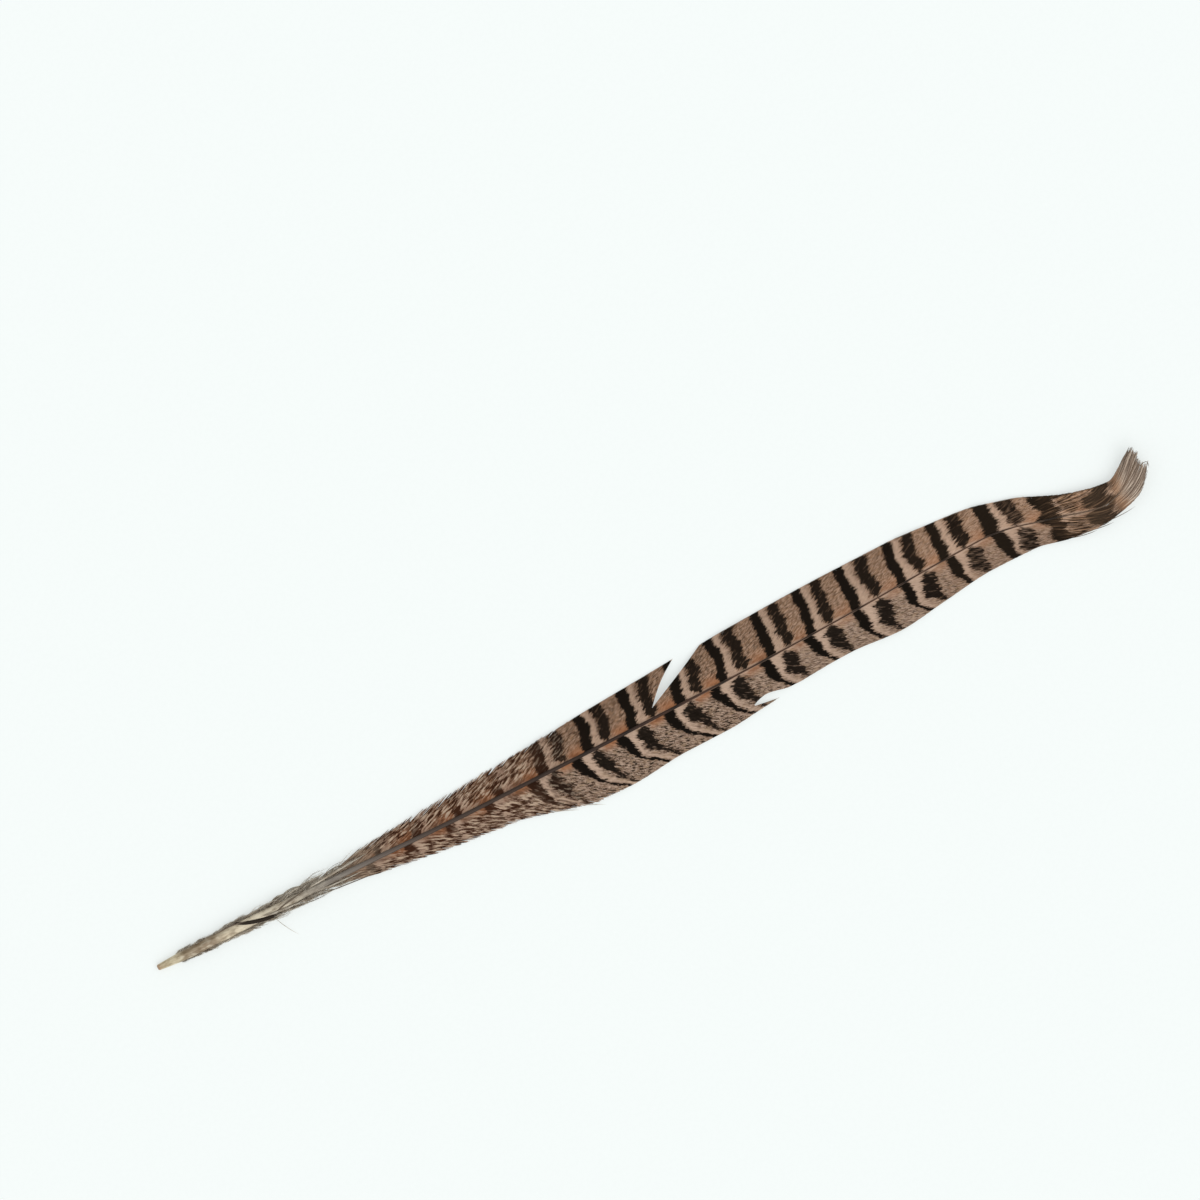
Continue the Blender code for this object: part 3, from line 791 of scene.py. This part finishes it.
def barbules(name, lines, tones, rng):
    """The fringe of a tuft's barbs: short fine hairs, bent forward."""
    blank = Blank(name + "_hair", 3, BARBULE_CUTS, [(0, 0.25)])
    points = BARBULE_CUTS + 2
    t = np.linspace(0, 1, points)
    hairs, tone, share = [], [], []
    for line, own in zip(lines, tones):
        for index in range(BARBULES):
            spot = (index + rng.uniform(0.2, 0.8)) / BARBULES * (len(line) - 1.001)
            at = int(spot)
            foot = line[at] + (line[at + 1] - line[at]) * (spot - at)
            ahead = line[at + 1] - line[at]
            heading = math.atan2(ahead[1], ahead[0])
            for hand in (-1, 1):
                turn = heading + hand * math.radians(rng.uniform(18, 50))
                length = rng.uniform(*BARBULE_LENGTH)
                bend = turn - hand * math.radians(rng.uniform(5, 35)) * t
                plan = foot[:2] + np.stack((np.cos(bend), np.sin(bend)), -1) * (t * length)[:, None]
                rise = rng.uniform(-0.35, 0.45) * length * t
                hairs.append(np.column_stack((plan, np.maximum(foot[2] + rise, 0.03))))
                tone.append(own + rng.uniform(-0.4, 0.4))
                share.append(spot / len(line))
    hairs, tone, share = np.array(hairs), np.array(tone), np.array(share)
    thin = np.linspace(1, 0.5, points)[None] * np.ones((len(hairs), 1)) * BARBULE_HALF
    places = lay(blank, hairs, thin, thin, thin, np.zeros_like(thin))
    marks = {"tone": tone[:, None], "share": share[:, None], "rib": 0.0,
             "along": hairs[:, blank.rings, 0]}
    return build(name, blank, places, 32, marks)


STRAY_CUTS, STRAY_THICK = 9, 0.06       # the most that half its thickness may be
# Loose barbs that stand off the rest: where each starts, is pulled to and ends, as along,
# across and height, half its width, and its tone, from -1 for pale to 1.5 for darkest.
STRAYS = [
    ((35.6, -2.9, 1.2), (36.6, -6.6, 0.5), (39.2, -10.2, 0.15), 0.06, 0.3),
    ((26.8, -0.6, 2.4), (31.0, -3.2, 3.1), (39.5, -3.7, 1.2), 0.48, 1.5),
    ((22.5, -0.8, 2.3), (26.0, -0.5, 2.5), (29.5, -1.5, 2.75), 0.16, 1.0),
    ((33.8, -2.2, 2.7), (36.5, -3.2, 2.7), (43.5, -3.3, 1.6), 0.28, -0.6),
    ((36.0, -3.1, 1.9), (39.0, -1.9, 2.9), (46.5, -1.2, 2.5), 0.16, 1.0),
    ((44.0, -3.6, 0.7), (53.5, -4.7, 0.4), (66.0, -5.9, 0.25), 0.12, 1.0),
    ((40.0, -3.3, 0.8), (45.0, -4.9, 0.4), (50.5, -4.6, 0.30), 0.08, 0.9),
    ((44.5, -2.2, 2.0), (50.0, -3.4, 1.9), (59.5, -3.6, 1.5), 0.26, -0.8),
    ((46.0, -2.6, 1.4), (51.0, -3.9, 1.3), (61.5, -4.3, 0.9), 0.18, 1.0),
    ((46.5, -1.3, 2.3), (51.5, -0.9, 2.4), (62.5, -0.3, 1.6), 0.28, -0.3),
    ((107.5, -11.2, 0.35), (113.5, -13.6, 0.3), (118.9, -16.4, 0.15), 0.08, 0.4),
    ((104.0, -11.3, 0.3), (108.5, -12.6, 0.25), (112.6, -14.6, 0.15), 0.07, 0.4),
    ((252.0, -10.6, 1.2), (258.5, -12.2, 1.5), (264.4, -11.4, 1.9), 0.09, 0.8),
    ((250.0, -10.9, 1.1), (254.0, -12.3, 1.2), (258.2, -12.4, 1.4), 0.09, 1.0),
    ((247.0, -11.0, 0.9), (250.5, -12.1, 1.0), (253.8, -12.3, 1.1), 0.08, 1.0),
    ((268.9, -3.6, 3.4), (272.7, -1.9, 3.8), (271.4, -4.7, 3.6), 0.09, 0.8),
]


def strays(name):
    """The few loose barbs that stand off the vanes and the quill."""
    blank = Blank(name + "_barb", 4, STRAY_CUTS, [(1, 0.7), (0, 0.3)])
    first, bend, last, half, tone = [np.array(x)[:, None] for x in zip(*STRAYS)]
    lines = bent(first, bend, last, np.linspace(0, 1, STRAY_CUTS + 2)[:, None])
    swell = np.sin(np.pi * np.linspace(0.04, 0.96, STRAY_CUTS + 2)) ** 0.7
    halves = half * (0.2 + 0.8 * swell)
    thick = np.minimum(halves, STRAY_THICK)
    places = lay(blank, lines, halves, thick, thick, np.zeros_like(halves))
    return build(name, blank, places, 3, down_marks(blank, places, halves, tone))


# --- Shader maths ------------------------------------------------------------------------


def linear(colour):
    """A colour given as 0 to 255 on a screen, as the light that a shader takes."""
    shares = [c / 255 for c in colour]
    return [s / 12.92 if s <= 0.04045 else ((s + 0.055) / 1.055) ** 2.4 for s in shares] + [1.0]


def math_with(operation, swapped=False):
    """An operator that adds a Math node."""
    def apply(self, other):
        pair = (other, self) if swapped else (self, other)
        return self.recipe.node("ShaderNodeMath", {"operation": operation},
                                dict(enumerate(pair)))
    return apply


class Wire:
    """A socket that gives a value, so that shader maths reads as plain arithmetic."""

    def __init__(self, recipe, socket):
        self.recipe = recipe
        self.socket = socket

    __add__, __radd__ = math_with("ADD"), math_with("ADD", True)
    __sub__, __rsub__ = math_with("SUBTRACT"), math_with("SUBTRACT", True)
    __mul__, __rmul__ = math_with("MULTIPLY"), math_with("MULTIPLY", True)
    __truediv__, __rtruediv__ = math_with("DIVIDE"), math_with("DIVIDE", True)
    __pow__ = math_with("POWER")

    def maths(self, operation):
        return self.recipe.node("ShaderNodeMath", {"operation": operation}, {0: self})

    def __abs__(self):
        return self.maths("ABSOLUTE")

    def fract(self):
        return self.maths("FRACT")

    def rises(self, low, high):
        """0 under low, 1 over high, and a smooth step between."""
        return self.recipe.node(
            "ShaderNodeMapRange", {"interpolation_type": "SMOOTHSTEP"},
            {"Value": self, "From Min": low, "From Max": high})

    def falls(self, low, high):
        return 1 - self.rises(low, high)


def set_stops(ramp, stops):
    """Gives a colour ramp its stops: (place, colour)."""
    while len(ramp.elements) < len(stops):
        ramp.elements.new(1.0)
    for element, (place, colour) in zip(ramp.elements, stops):
        element.position = place
        element.color = linear(colour)


class Recipe:
    """A material in the making."""

    def __init__(self, name):
        self.material = bpy.data.materials.new(name)
        self.material.use_nodes = True
        self.tree = self.material.node_tree
        self.shader = self.tree.nodes["Principled BSDF"]

    def node(self, kind, settings, sockets, output=0):
        """Adds a node: its settings first, then the values or links of its sockets."""
        made = self.tree.nodes.new(kind)
        for key, value in settings.items():
            if key == "stops":
                set_stops(made.color_ramp, value)
            else:
                setattr(made, key, value)
        for key, value in sockets.items():
            self.plug(made.inputs[key], value)
        return Wire(self, made.outputs[output])

    def plug(self, socket, value):
        if isinstance(value, Wire):
            self.tree.links.new(value.socket, socket)
        else:
            socket.default_value = value

    def marks(self, names):
        """The values that the mesh carries under some names."""
        return [self.node("ShaderNodeAttribute", {"attribute_name": name}, {}, "Fac")
                for name in names.split()]

    def noise(self, x, y, z, detail, roughness):
        """Soft random values, near 0.5, whose grain is 1 in the coordinates given.

        Where z is a plain number, it only keeps one pattern apart from the others.
        """
        place = self.node("ShaderNodeCombineXYZ", {}, {0: x, 1: y, 2: z})
        return self.node("ShaderNodeTexNoise", {"noise_dimensions": "3D"},
                         {"Vector": place, "Scale": 1.0, "Detail": detail,
                          "Roughness": roughness})

    def mix(self, factor, first, second):
        """From one colour to another."""
        first, second = [linear(c) if isinstance(c, tuple) else c for c in (first, second)]
        return self.node("ShaderNodeMix", {"data_type": "RGBA"},
                         {0: factor, 6: first, 7: second}, 2)

    def over(self, colour, *layers):
        """A colour with tints laid over it in turn, each given as (factor, tint)."""
        for factor, tint in layers:
            colour = self.mix(factor, colour, tint)
        return colour

    def scale(self, colour, factor):
        """A colour made lighter or darker."""
        return self.node("ShaderNodeVectorMath", {"operation": "SCALE"},
                         {0: colour, "Scale": factor})

    def bump(self, height, distance, strength):
        return self.node("ShaderNodeBump", {},
                         {"Height": height, "Distance": distance, "Strength": strength})

    def finish(self, **sockets):
        """Feeds the shader's own sockets, and gives back the material."""
        for name, value in sockets.items():
            self.plug(self.shader.inputs[name.replace("_", " ")], value)
        return self.material


# --- Finishes ----------------------------------------------------------------------------

BAR_BLACK = {LEFT: (24, 17, 11), RIGHT: (18, 12, 7)}
BAR_WORN = (40, 30, 21)
BAR_GREY = (74, 60, 49)
BAR_BROWN = (74, 51, 36)
CREAM = (193, 165, 145)
RUFOUS = (160, 104, 68)
RUFOUS_DEEP = (116, 70, 43)
GROUND = {                  # the darkest and the palest of the ground, and its tan clouds
    LEFT: ((126, 96, 75), (180, 148, 125), (152, 116, 86)),
    RIGHT: ((132, 107, 90), (184, 158, 139), (150, 124, 95)),
}
RIGHT_TAN = (128, 84, 50)           # over the right vane's ground from its middle on
SPECK = (78, 57, 43)
SPECK_DARK = (34, 25, 18)
FRAYED_DARK, FRAYED_TAN = (54, 38, 27), (192, 150, 116)
TIP_BUFF, TIP_GREY = (178, 137, 106), (149, 130, 115)
TIP_DARK, TIP_PALE = (70, 53, 43), (222, 204, 186)
BASE_DARK, BASE_GREY = (84, 66, 52), (160, 138, 118)
BASE_WARM = (96, 54, 32)
STREAK_DARK, STREAK_PALE = (28, 18, 10), (216, 192, 168)
# the next colour is painted shade: the under layer's barbs, dark as the gaps between the loose
# barbs above
GAP_SHADE_BROWN = (44, 32, 23)          # the barbs below the rest
RIM_PALE = (192, 172, 152)
WORN_EDGE = (46, 34, 25)            # of the left vane, near the tip
UNDER_PALE = (128, 112, 98)

BARBULE_PITCH = 0.11        # between the barbules that the bump draws along a barb


def vane_finish(name, side):
    """Bars, blotches, speckles and streaks, laid out in the barbs' own coordinates.

    A band is the way from one dark bar to the next, counted from the first clear bar, so
    the limits given for it say where along the vane a look starts or ends.
    """
    r = Recipe(name)
    band, second, out, girth, blotch = r.marks("band second out girth blotch")
    root, reach, share, tone = r.marks("root reach share tone")
    rib, under, loose, depth = r.marks("rib under loose depth")
    right = side == RIGHT

    # Random values in a barb's coordinates: its root, and the way out along it.
    wave = r.noise(root * 0.62, reach * 0.55, 3.0, 1.0, 0.5) - 0.5
    fray = r.noise(root * 1.7, reach * 1.3, 8.0, 1.0, 0.55) - 0.5
    strand = r.noise(root * 1.9, reach * 0.30, 12.0, 1.0, 0.5) - 0.5
    sway = r.noise(band * 0.7, out * 0.26, 5.0, 0.0, 0.5) - 0.5
    swell = r.noise(band * 1.1, out * 0.32, 44.0, 0.0, 0.5) - 0.5
    mottle = r.noise(root * 1.5, reach * 1.0, 15.0, 2.0, 0.6)
    cloud = r.noise(root * 0.6, reach * 0.55, 18.0, 2.0, 0.5)
    grain = r.noise(root * 2.6, reach * 1.8, 21.0, 2.0, 0.6)
    late = band.rises(12.4, 13.2)
    ragged = 1 + 0.8 * loose + 1.1 * late
    start = band.falls(1.3, 2.2)            # the ragged stretch where the vane starts
    base = band.falls(-2.4, -1.4)           # and the grey one before that

    # The dark bars, and the broken second bars between them: p and q are the ways from
    # the middle of the nearest one, as shares of a band.
    drift = r.noise(band * 0.9, out * 0.42, 28.0, 1.0, 0.5) - 0.5
    p = (band + (wave * 0.105 + fray * 0.120 + strand * 0.07) * ragged + sway * 0.13
         + drift * late * 0.8 + 0.3).fract() - 0.3
    girth = girth * (1 + 0.55 * swell)
    soft = girth * 0.14 + 0.006
    main = abs(p).falls(girth - soft, girth + soft)
    main_halo = abs(p).falls(girth, girth + 0.045)
    torn = start * out.rises(1.8, 3.2)
    main = main * (1 - torn * strand.rises(-0.07, 0.02))
    q = (second + wave * 0.17 + fray * 0.17 + strand * 0.10 + sway * 0.20
         + 0.3).fract() - 0.3 - 0.455
    body = r.noise(root * 0.6, reach * 0.55, 33.0, 1.0, 0.5)
    wide = blotch * (body * 1.3 + 0.38 if right else body * 0.9 + 0.58)
    blot = abs(q).falls(wide - 0.018, wide + 0.018)
    finger = r.noise(root * 1.2, reach * 0.40, 37.0, 1.0, 0.5)
    cut = finger.rises(0.60, 0.65) * (0.32 if right else 0.25)
    slit = band.rises(10.6, 11.4) * 0.34 if right else band.rises(11.7, 12.3) * 0.22
    comb = slit + late * 0.5
    cut = cut + (1 - cut) * comb * finger.rises(0.48, 0.54)
    blot = blot * (1 - cut) * (1 - start * 0.8)

    # The ground: cream after a bar, buff, then rufous by the shaft before the next bar.
    onward = (p + 1).fract()
    before_bar = onward.rises(0.48, 0.70) * onward.falls(0.86, 0.97)
    inward = out.rises(2.6, 7.0) * (0.17 if right else 0.05)
    after_bar = p.rises(0.05, 0.12) * (p + inward).falls(0.24, 0.38)
    near_shaft = out.falls(0.4, 2.8 if right else 4.0)
    warm = before_bar * near_shaft * (1 - 0.55 * band.rises(5.5, 8.0))
    dark, pale, tan = GROUND[side]
    ground = r.over(
        r.mix(mottle.rises(0.36, 0.64), dark, pale),
        (cloud.rises(0.50, 0.66) * 0.45, tan),
        (warm * (0.35 + 0.9 * mottle), RUFOUS),
        (warm * wave.rises(0.02, 0.14) * 0.6, RUFOUS_DEEP),
        (start * (1 - base) * near_shaft * 0.35, RUFOUS),
        (after_bar * (0.80 if right else 0.55), CREAM))
    if right:
        ground = r.mix(band.rises(9.5, 11.0) * 0.18, ground, RIGHT_TAN)
    else:
        ground = r.scale(ground, 1 + band.rises(9.5, 11.0) * 0.10)
    by_shaft = out.falls(0.40, 0.72) * onward.rises(0.10, 0.16) * onward.falls(0.60, 0.80)

    # Specks that lie along the barbs, more of them to the edge.
    gap = onward.rises(0.18, 0.26) * onward.falls(0.86, 0.94)
    lie = root - reach * 0.45
    small = r.noise(lie * 1.9, reach * 1.5, 47.0, 1.0, 0.5).rises(0.50, 0.60)
    large = r.noise(lie * 1.45, reach * 1.15, 52.0, 0.0, 0.4).rises(0.550, 0.620)
    outward = out.rises(1.0, 3.4) if right else out.rises(0.5, 4.0) * 0.75
    outward = outward * (1 - 0.35 * band.rises(5.8, 7.5))
    edge_brown = abs(q).falls(wide, wide + 0.055)
    worn = r.over(
        BAR_BLACK[side],
        (fray.rises(-0.10, 0.12) * late, BAR_WORN),
        (band.rises(13.3, 13.8) * (0.45 + 0.7 * finger), BAR_GREY),
        (band.rises(9.5, 11.5) * (0.25 + 0.5 * finger), BAR_WORN))
    colour = r.over(
        ground,
        (by_shaft * (0.30 + 0.45 * band.rises(4.5, 6.5)), CREAM),
        (small * gap * outward * (0.60 - 0.16 * band.rises(5.8, 7.5)), SPECK),
        (large * gap * outward * 0.88, SPECK_DARK),
        (edge_brown * (1 - cut) * (1 - start) * 0.5, BAR_BROWN),
        (blot * 0.96, BAR_BLACK[side]),
        (main_halo * (1 - torn) * 0.45, BAR_BROWN),
        (main, worn))

    # The worn tip, and the grey, loose barbs where the vane starts.
    fibre = r.noise(root * 1.2, reach * 0.10, 60.0, 3.0, 0.65)
    frayed = band.rises(12.8, 13.1)
    tip = (band + (fibre - 0.5) * 0.7).rises(14.20, 14.38)
    tip_colour = r.over(
        r.mix(band.rises(14.26, 14.58), TIP_BUFF, TIP_GREY),
        (fibre.rises(0.48, 0.62) * 0.85, TIP_DARK),
        (fibre.falls(0.38, 0.48) * 0.85, TIP_PALE))
    base_streaks = r.noise(root * 1.4, reach * 0.3, 71.0, 3.0, 0.6)
    streak = r.noise(root * 0.90, reach * 0.48, 83.0, 2.0, 0.55)
    early = band.falls(1.4, 3.0) * (0.75 + loose) * (1 - base * 0.75)
    early = early * (0.35 + 0.65 * out.rises(0.6, 2.6))
    colour = r.over(
        colour,
        (frayed * fibre.rises(0.49, 0.60) * 0.75, FRAYED_DARK),
        (frayed * (1 - main * 0.6) * fibre.falls(0.38, 0.48) * 0.65, FRAYED_TAN),
        (tip, tip_colour),
        (base * 0.85, r.mix(base_streaks.rises(0.35, 0.65), BASE_DARK, BASE_GREY)),
        (early * streak.rises(0.52, 0.59) * 0.92, STREAK_DARK),
        (early * streak.falls(0.39, 0.48) * (1 - main * 0.8) * 0.85, STREAK_PALE),
        # Painted shade: the under layer's barbs darkened brown, standing in for the shade in the
        # gaps between the loose barbs above.
        (depth * (1 - under * 0.8) * (0.75 - 0.45 * late), GAP_SHADE_BROWN),
        (band.falls(1.0, 3.2) * (1 - base) * 0.34, BASE_WARM))

    # A faint pale rim on the zipped edge, and each barb a little different.
    rim = share.rises(0.93, 0.99) * loose.falls(0.15, 0.4) * (1 - main) * 0.35
    colour = r.mix(rim, colour, RIM_PALE)
    if not right:
        colour = r.mix(share.rises(0.90, 0.98) * late * 0.65, colour, WORN_EDGE)
    shade = 1 + tone * 0.04 + (grain - 0.5) * 0.40 + band.rises(9.5, 11.0) * 0.05
    colour = r.mix(under * 0.45, r.scale(colour, shade), UNDER_PALE)
    barbule = (reach / BARBULE_PITCH + abs(rib) * 1.3).fract()
    height = abs(barbule - 0.5) * 0.5 + grain * 0.6
    return r.finish(Base_Color=colour, Roughness=0.58 + grain * 0.25,
                    Normal=r.bump(height, 0.00003, 0.35), Specular_IOR_Level=0.05)


SHAFT_COLOURS = [           # (along, colour)
    (5.4, (170, 134, 106)), (6.6, (196, 180, 148)), (10.5, (202, 188, 158)),
    (12.6, (158, 140, 116)), (20, (150, 131, 110)), (23.5, (206, 190, 164)),
    (30, (222, 208, 184)), (40, (180, 168, 150)), (52, (136, 128, 120)),
    (64, (104, 93, 86)), (80, (72, 59, 52)), (104, (56, 41, 33)), (135, (52, 33, 24)),
    (152, (66, 41, 29)), (228, (70, 44, 31)), (250, (92, 74, 60)), (270.2, (118, 100, 86)),
]
# the last of these is painted shadow, laid on the quill's left side
QUILL_BROWN, QUILL_PALE, QUILL_SHADOW_OLIVE = (98, 78, 52), (228, 218, 196), (88, 68, 36)
SHAFT_STREAK, SHAFT_FLANK, SHAFT_RIM = (66, 50, 38), (40, 30, 25), (184, 154, 130)
SHAFT_BAR, SHAFT_TIP = (26, 18, 12), (120, 98, 80)
PIT_BROWN, SHAFT_UNDER = (74, 48, 26), (190, 172, 144)


def shaft_finish(name):
    """Horn: cream at the quill, grey where the vanes start, then dark, then red-brown."""
    r = Recipe(name)
    along, side, up, pit, bar = r.marks("along side up pit bar")
    lines = r.noise(side * 6, along * 0.09, up * 6, 3.0, 0.6)
    cloud = r.noise(along * 0.45, side * 1.4, 7.0, 3.0, 0.6)
    stops = [((place - QUILL_END) / SHAFT_LENGTH, tint) for place, tint in SHAFT_COLOURS]
    colour = r.node("ShaderNodeValToRGB", {"stops": stops},
                    {"Fac": (along - QUILL_END) / SHAFT_LENGTH})
    quill = along.falls(38, 62)
    # Painted shadow: the quill's left side darkened olive-brown from 10.5 to 27 mm along, with
    # streaks.
    shadowed_side = side.rises(0.0, 0.6) * along.rises(10.5, 13) * along.falls(20, 27)
    flank = abs(side).rises(0.55, 0.95) * along.rises(48, 70) * along.falls(110, 140)
    rim = abs(side).rises(0.50, 0.78) * along.rises(140, 165)
    colour = r.over(
        colour,
        (lines.rises(0.46, 0.70) * 0.42, SHAFT_STREAK),
        (quill * cloud.rises(0.46, 0.74) * 0.62, QUILL_BROWN),
        (quill * cloud.falls(0.28, 0.52) * 0.50, QUILL_PALE),
        (shadowed_side * (0.10 + 0.7 * lines), QUILL_SHADOW_OLIVE),
        (flank * 0.45, SHAFT_FLANK),
        (rim * 0.75, SHAFT_RIM),
        (bar * along.rises(75, 150) * 0.9, SHAFT_BAR),
        (along.rises(246, 256) * 0.6, SHAFT_TIP),
        (pit, PIT_BROWN),
        (up.falls(-0.6, -0.1) * 0.5, SHAFT_UNDER))
    return r.finish(Base_Color=colour, Roughness=0.46 + lines * 0.2,
                    Normal=r.bump(lines, 0.00005, 0.4), Specular_IOR_Level=0.25)


DOWN_GREY, DOWN_PALE, DOWN_ENDS = (196, 180, 160), (226, 215, 198), (232, 224, 210)
DOWN_BROWN, DOWN_STRAND, DOWN_DARKEST = (82, 64, 50), (96, 78, 64), (30, 21, 14)


def down_finish(name):
    """Soft grey-buff down, paler at its ends."""
    r = Recipe(name)
    tone, share, along, rib = r.marks("tone share along rib")
    cloud = r.noise(along * 0.25, share * 2, tone, 2.0, 0.5)
    strand = r.noise(rib * 9, along * 0.35, tone * 7, 2.0, 0.6)
    colour = r.over(
        r.mix(cloud.rises(0.38, 0.62), DOWN_GREY, DOWN_PALE),
        (share.rises(0.4, 1.0) * 0.4, DOWN_ENDS),
        (tone.rises(0.55, 0.9) * 0.85, DOWN_BROWN),
        (strand.rises(0.50, 0.62) * 0.55, DOWN_STRAND),
        (tone.rises(1.1, 1.4) * 0.90, DOWN_DARKEST))
    return r.finish(Base_Color=r.scale(colour, 0.81 + tone * 0.11),
                    Roughness=0.62 + cloud * 0.2, Specular_IOR_Level=0.15)


FLOOR_LOW, FLOOR_HIGH = (178, 181, 180), (182, 185, 184)
FLOOR_GLOW, GLOW_STRENGTH = (246, 251, 250), 0.52


def floor_finish(name):
    """A plain pale sheet with a hardly seen grain."""
    r = Recipe(name)
    place = r.node("ShaderNodeTexCoord", {}, {}, "Object")
    grain = r.node("ShaderNodeTexNoise", {}, {"Vector": place, "Scale": 900.0})
    return r.finish(
        Base_Color=r.mix(grain, FLOOR_LOW, FLOOR_HIGH), Roughness=0.8,
        Emission_Color=linear(FLOOR_GLOW), Emission_Strength=GLOW_STRENGTH,
        Specular_IOR_Level=0.1)


# --- Camera, light and floor -------------------------------------------------------------

PHOTO_CENTRE = (0.00185, 0.0312)        # in the frame, in metres
PHOTO_TURN = -27.44         # degrees from the picture's level to the feather's +X
FRAME_WIDTH = 0.288         # what the picture shows from side to side
CAMERA_HEIGHT = 1.5
SENSOR_WIDTH = 36.0
FLOOR_SIZE, FLOOR_HEIGHT = 5.0, -0.00006
SKY_COLOUR, SKY_STRENGTH = (0.97, 1.0, 0.995, 1), 0.74
LAMP_COLOUR, LAMP_ENERGY = (1.0, 0.99, 0.975), 1.05
LAMP_SPREAD, LAMP_TURNS = 60, (36, -14, 30)     # in degrees


def set_stage():
    """The camera straight above, soft light from the upper left, and a pale floor."""
    scene = bpy.context.scene
    camera = bpy.data.objects.new("camera", bpy.data.cameras.new("camera"))
    scene.collection.objects.link(camera)
    camera.data.sensor_width = SENSOR_WIDTH
    camera.data.lens = SENSOR_WIDTH * CAMERA_HEIGHT / FRAME_WIDTH
    camera.location = (*PHOTO_CENTRE, CAMERA_HEIGHT)
    camera.rotation_euler = (0, 0, math.radians(PHOTO_TURN))
    scene.camera = camera
    scene.view_settings.view_transform = "Standard"

    deselect()
    bpy.ops.mesh.primitive_plane_add(size=FLOOR_SIZE, location=(0, 0, FLOOR_HEIGHT))
    floor = bpy.context.object
    floor.name = "floor"
    floor.data.materials.append(floor_finish("floor"))

    world = bpy.data.worlds.new("studio")
    scene.world = world
    world.use_nodes = True
    sky = world.node_tree.nodes["Background"]
    sky.inputs["Color"].default_value = SKY_COLOUR
    sky.inputs["Strength"].default_value = SKY_STRENGTH
    lamp = bpy.data.lights.new("window", "SUN")
    lamp.energy = LAMP_ENERGY
    lamp.angle = math.radians(LAMP_SPREAD)
    lamp.color = LAMP_COLOUR
    sun = bpy.data.objects.new("window", lamp)
    sun.rotation_euler = [math.radians(turn) for turn in LAMP_TURNS]
    scene.collection.objects.link(sun)


# --- Making it ---------------------------------------------------------------------------


def dress(piece, material):
    """Gives a piece its material, body and slot, and hides the solid that it stands for."""
    piece.data.materials.clear()
    piece.data.materials.append(material)
    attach(piece, "root")
    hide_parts("feather")


SIDES = ((LEFT, "left"), (RIGHT, "right"))

set_stage()
plan_rng = random.Random(PLAN_SEED)
tuft_plans, lock_plans = {}, {}
for side, _ in SIDES:
    tuft_plans[side] = down_plan(plan_rng)
    lock_plans[side] = lock_plan(side, plan_rng)

comb_rng = random.Random(COMB_SEED)
dress(shaft("shaft"), shaft_finish("horn"))
for side, name in SIDES:
    dress(vane("vane_" + name, side, lock_plans[side], comb_rng),
          vane_finish("barred_" + name, side))
grey = down_finish("down")
dress(strays("loose_barbs"), grey)
for side, name in SIDES:
    for piece in down("down_" + name, side, tuft_plans[side], comb_rng):
        dress(piece, grey)
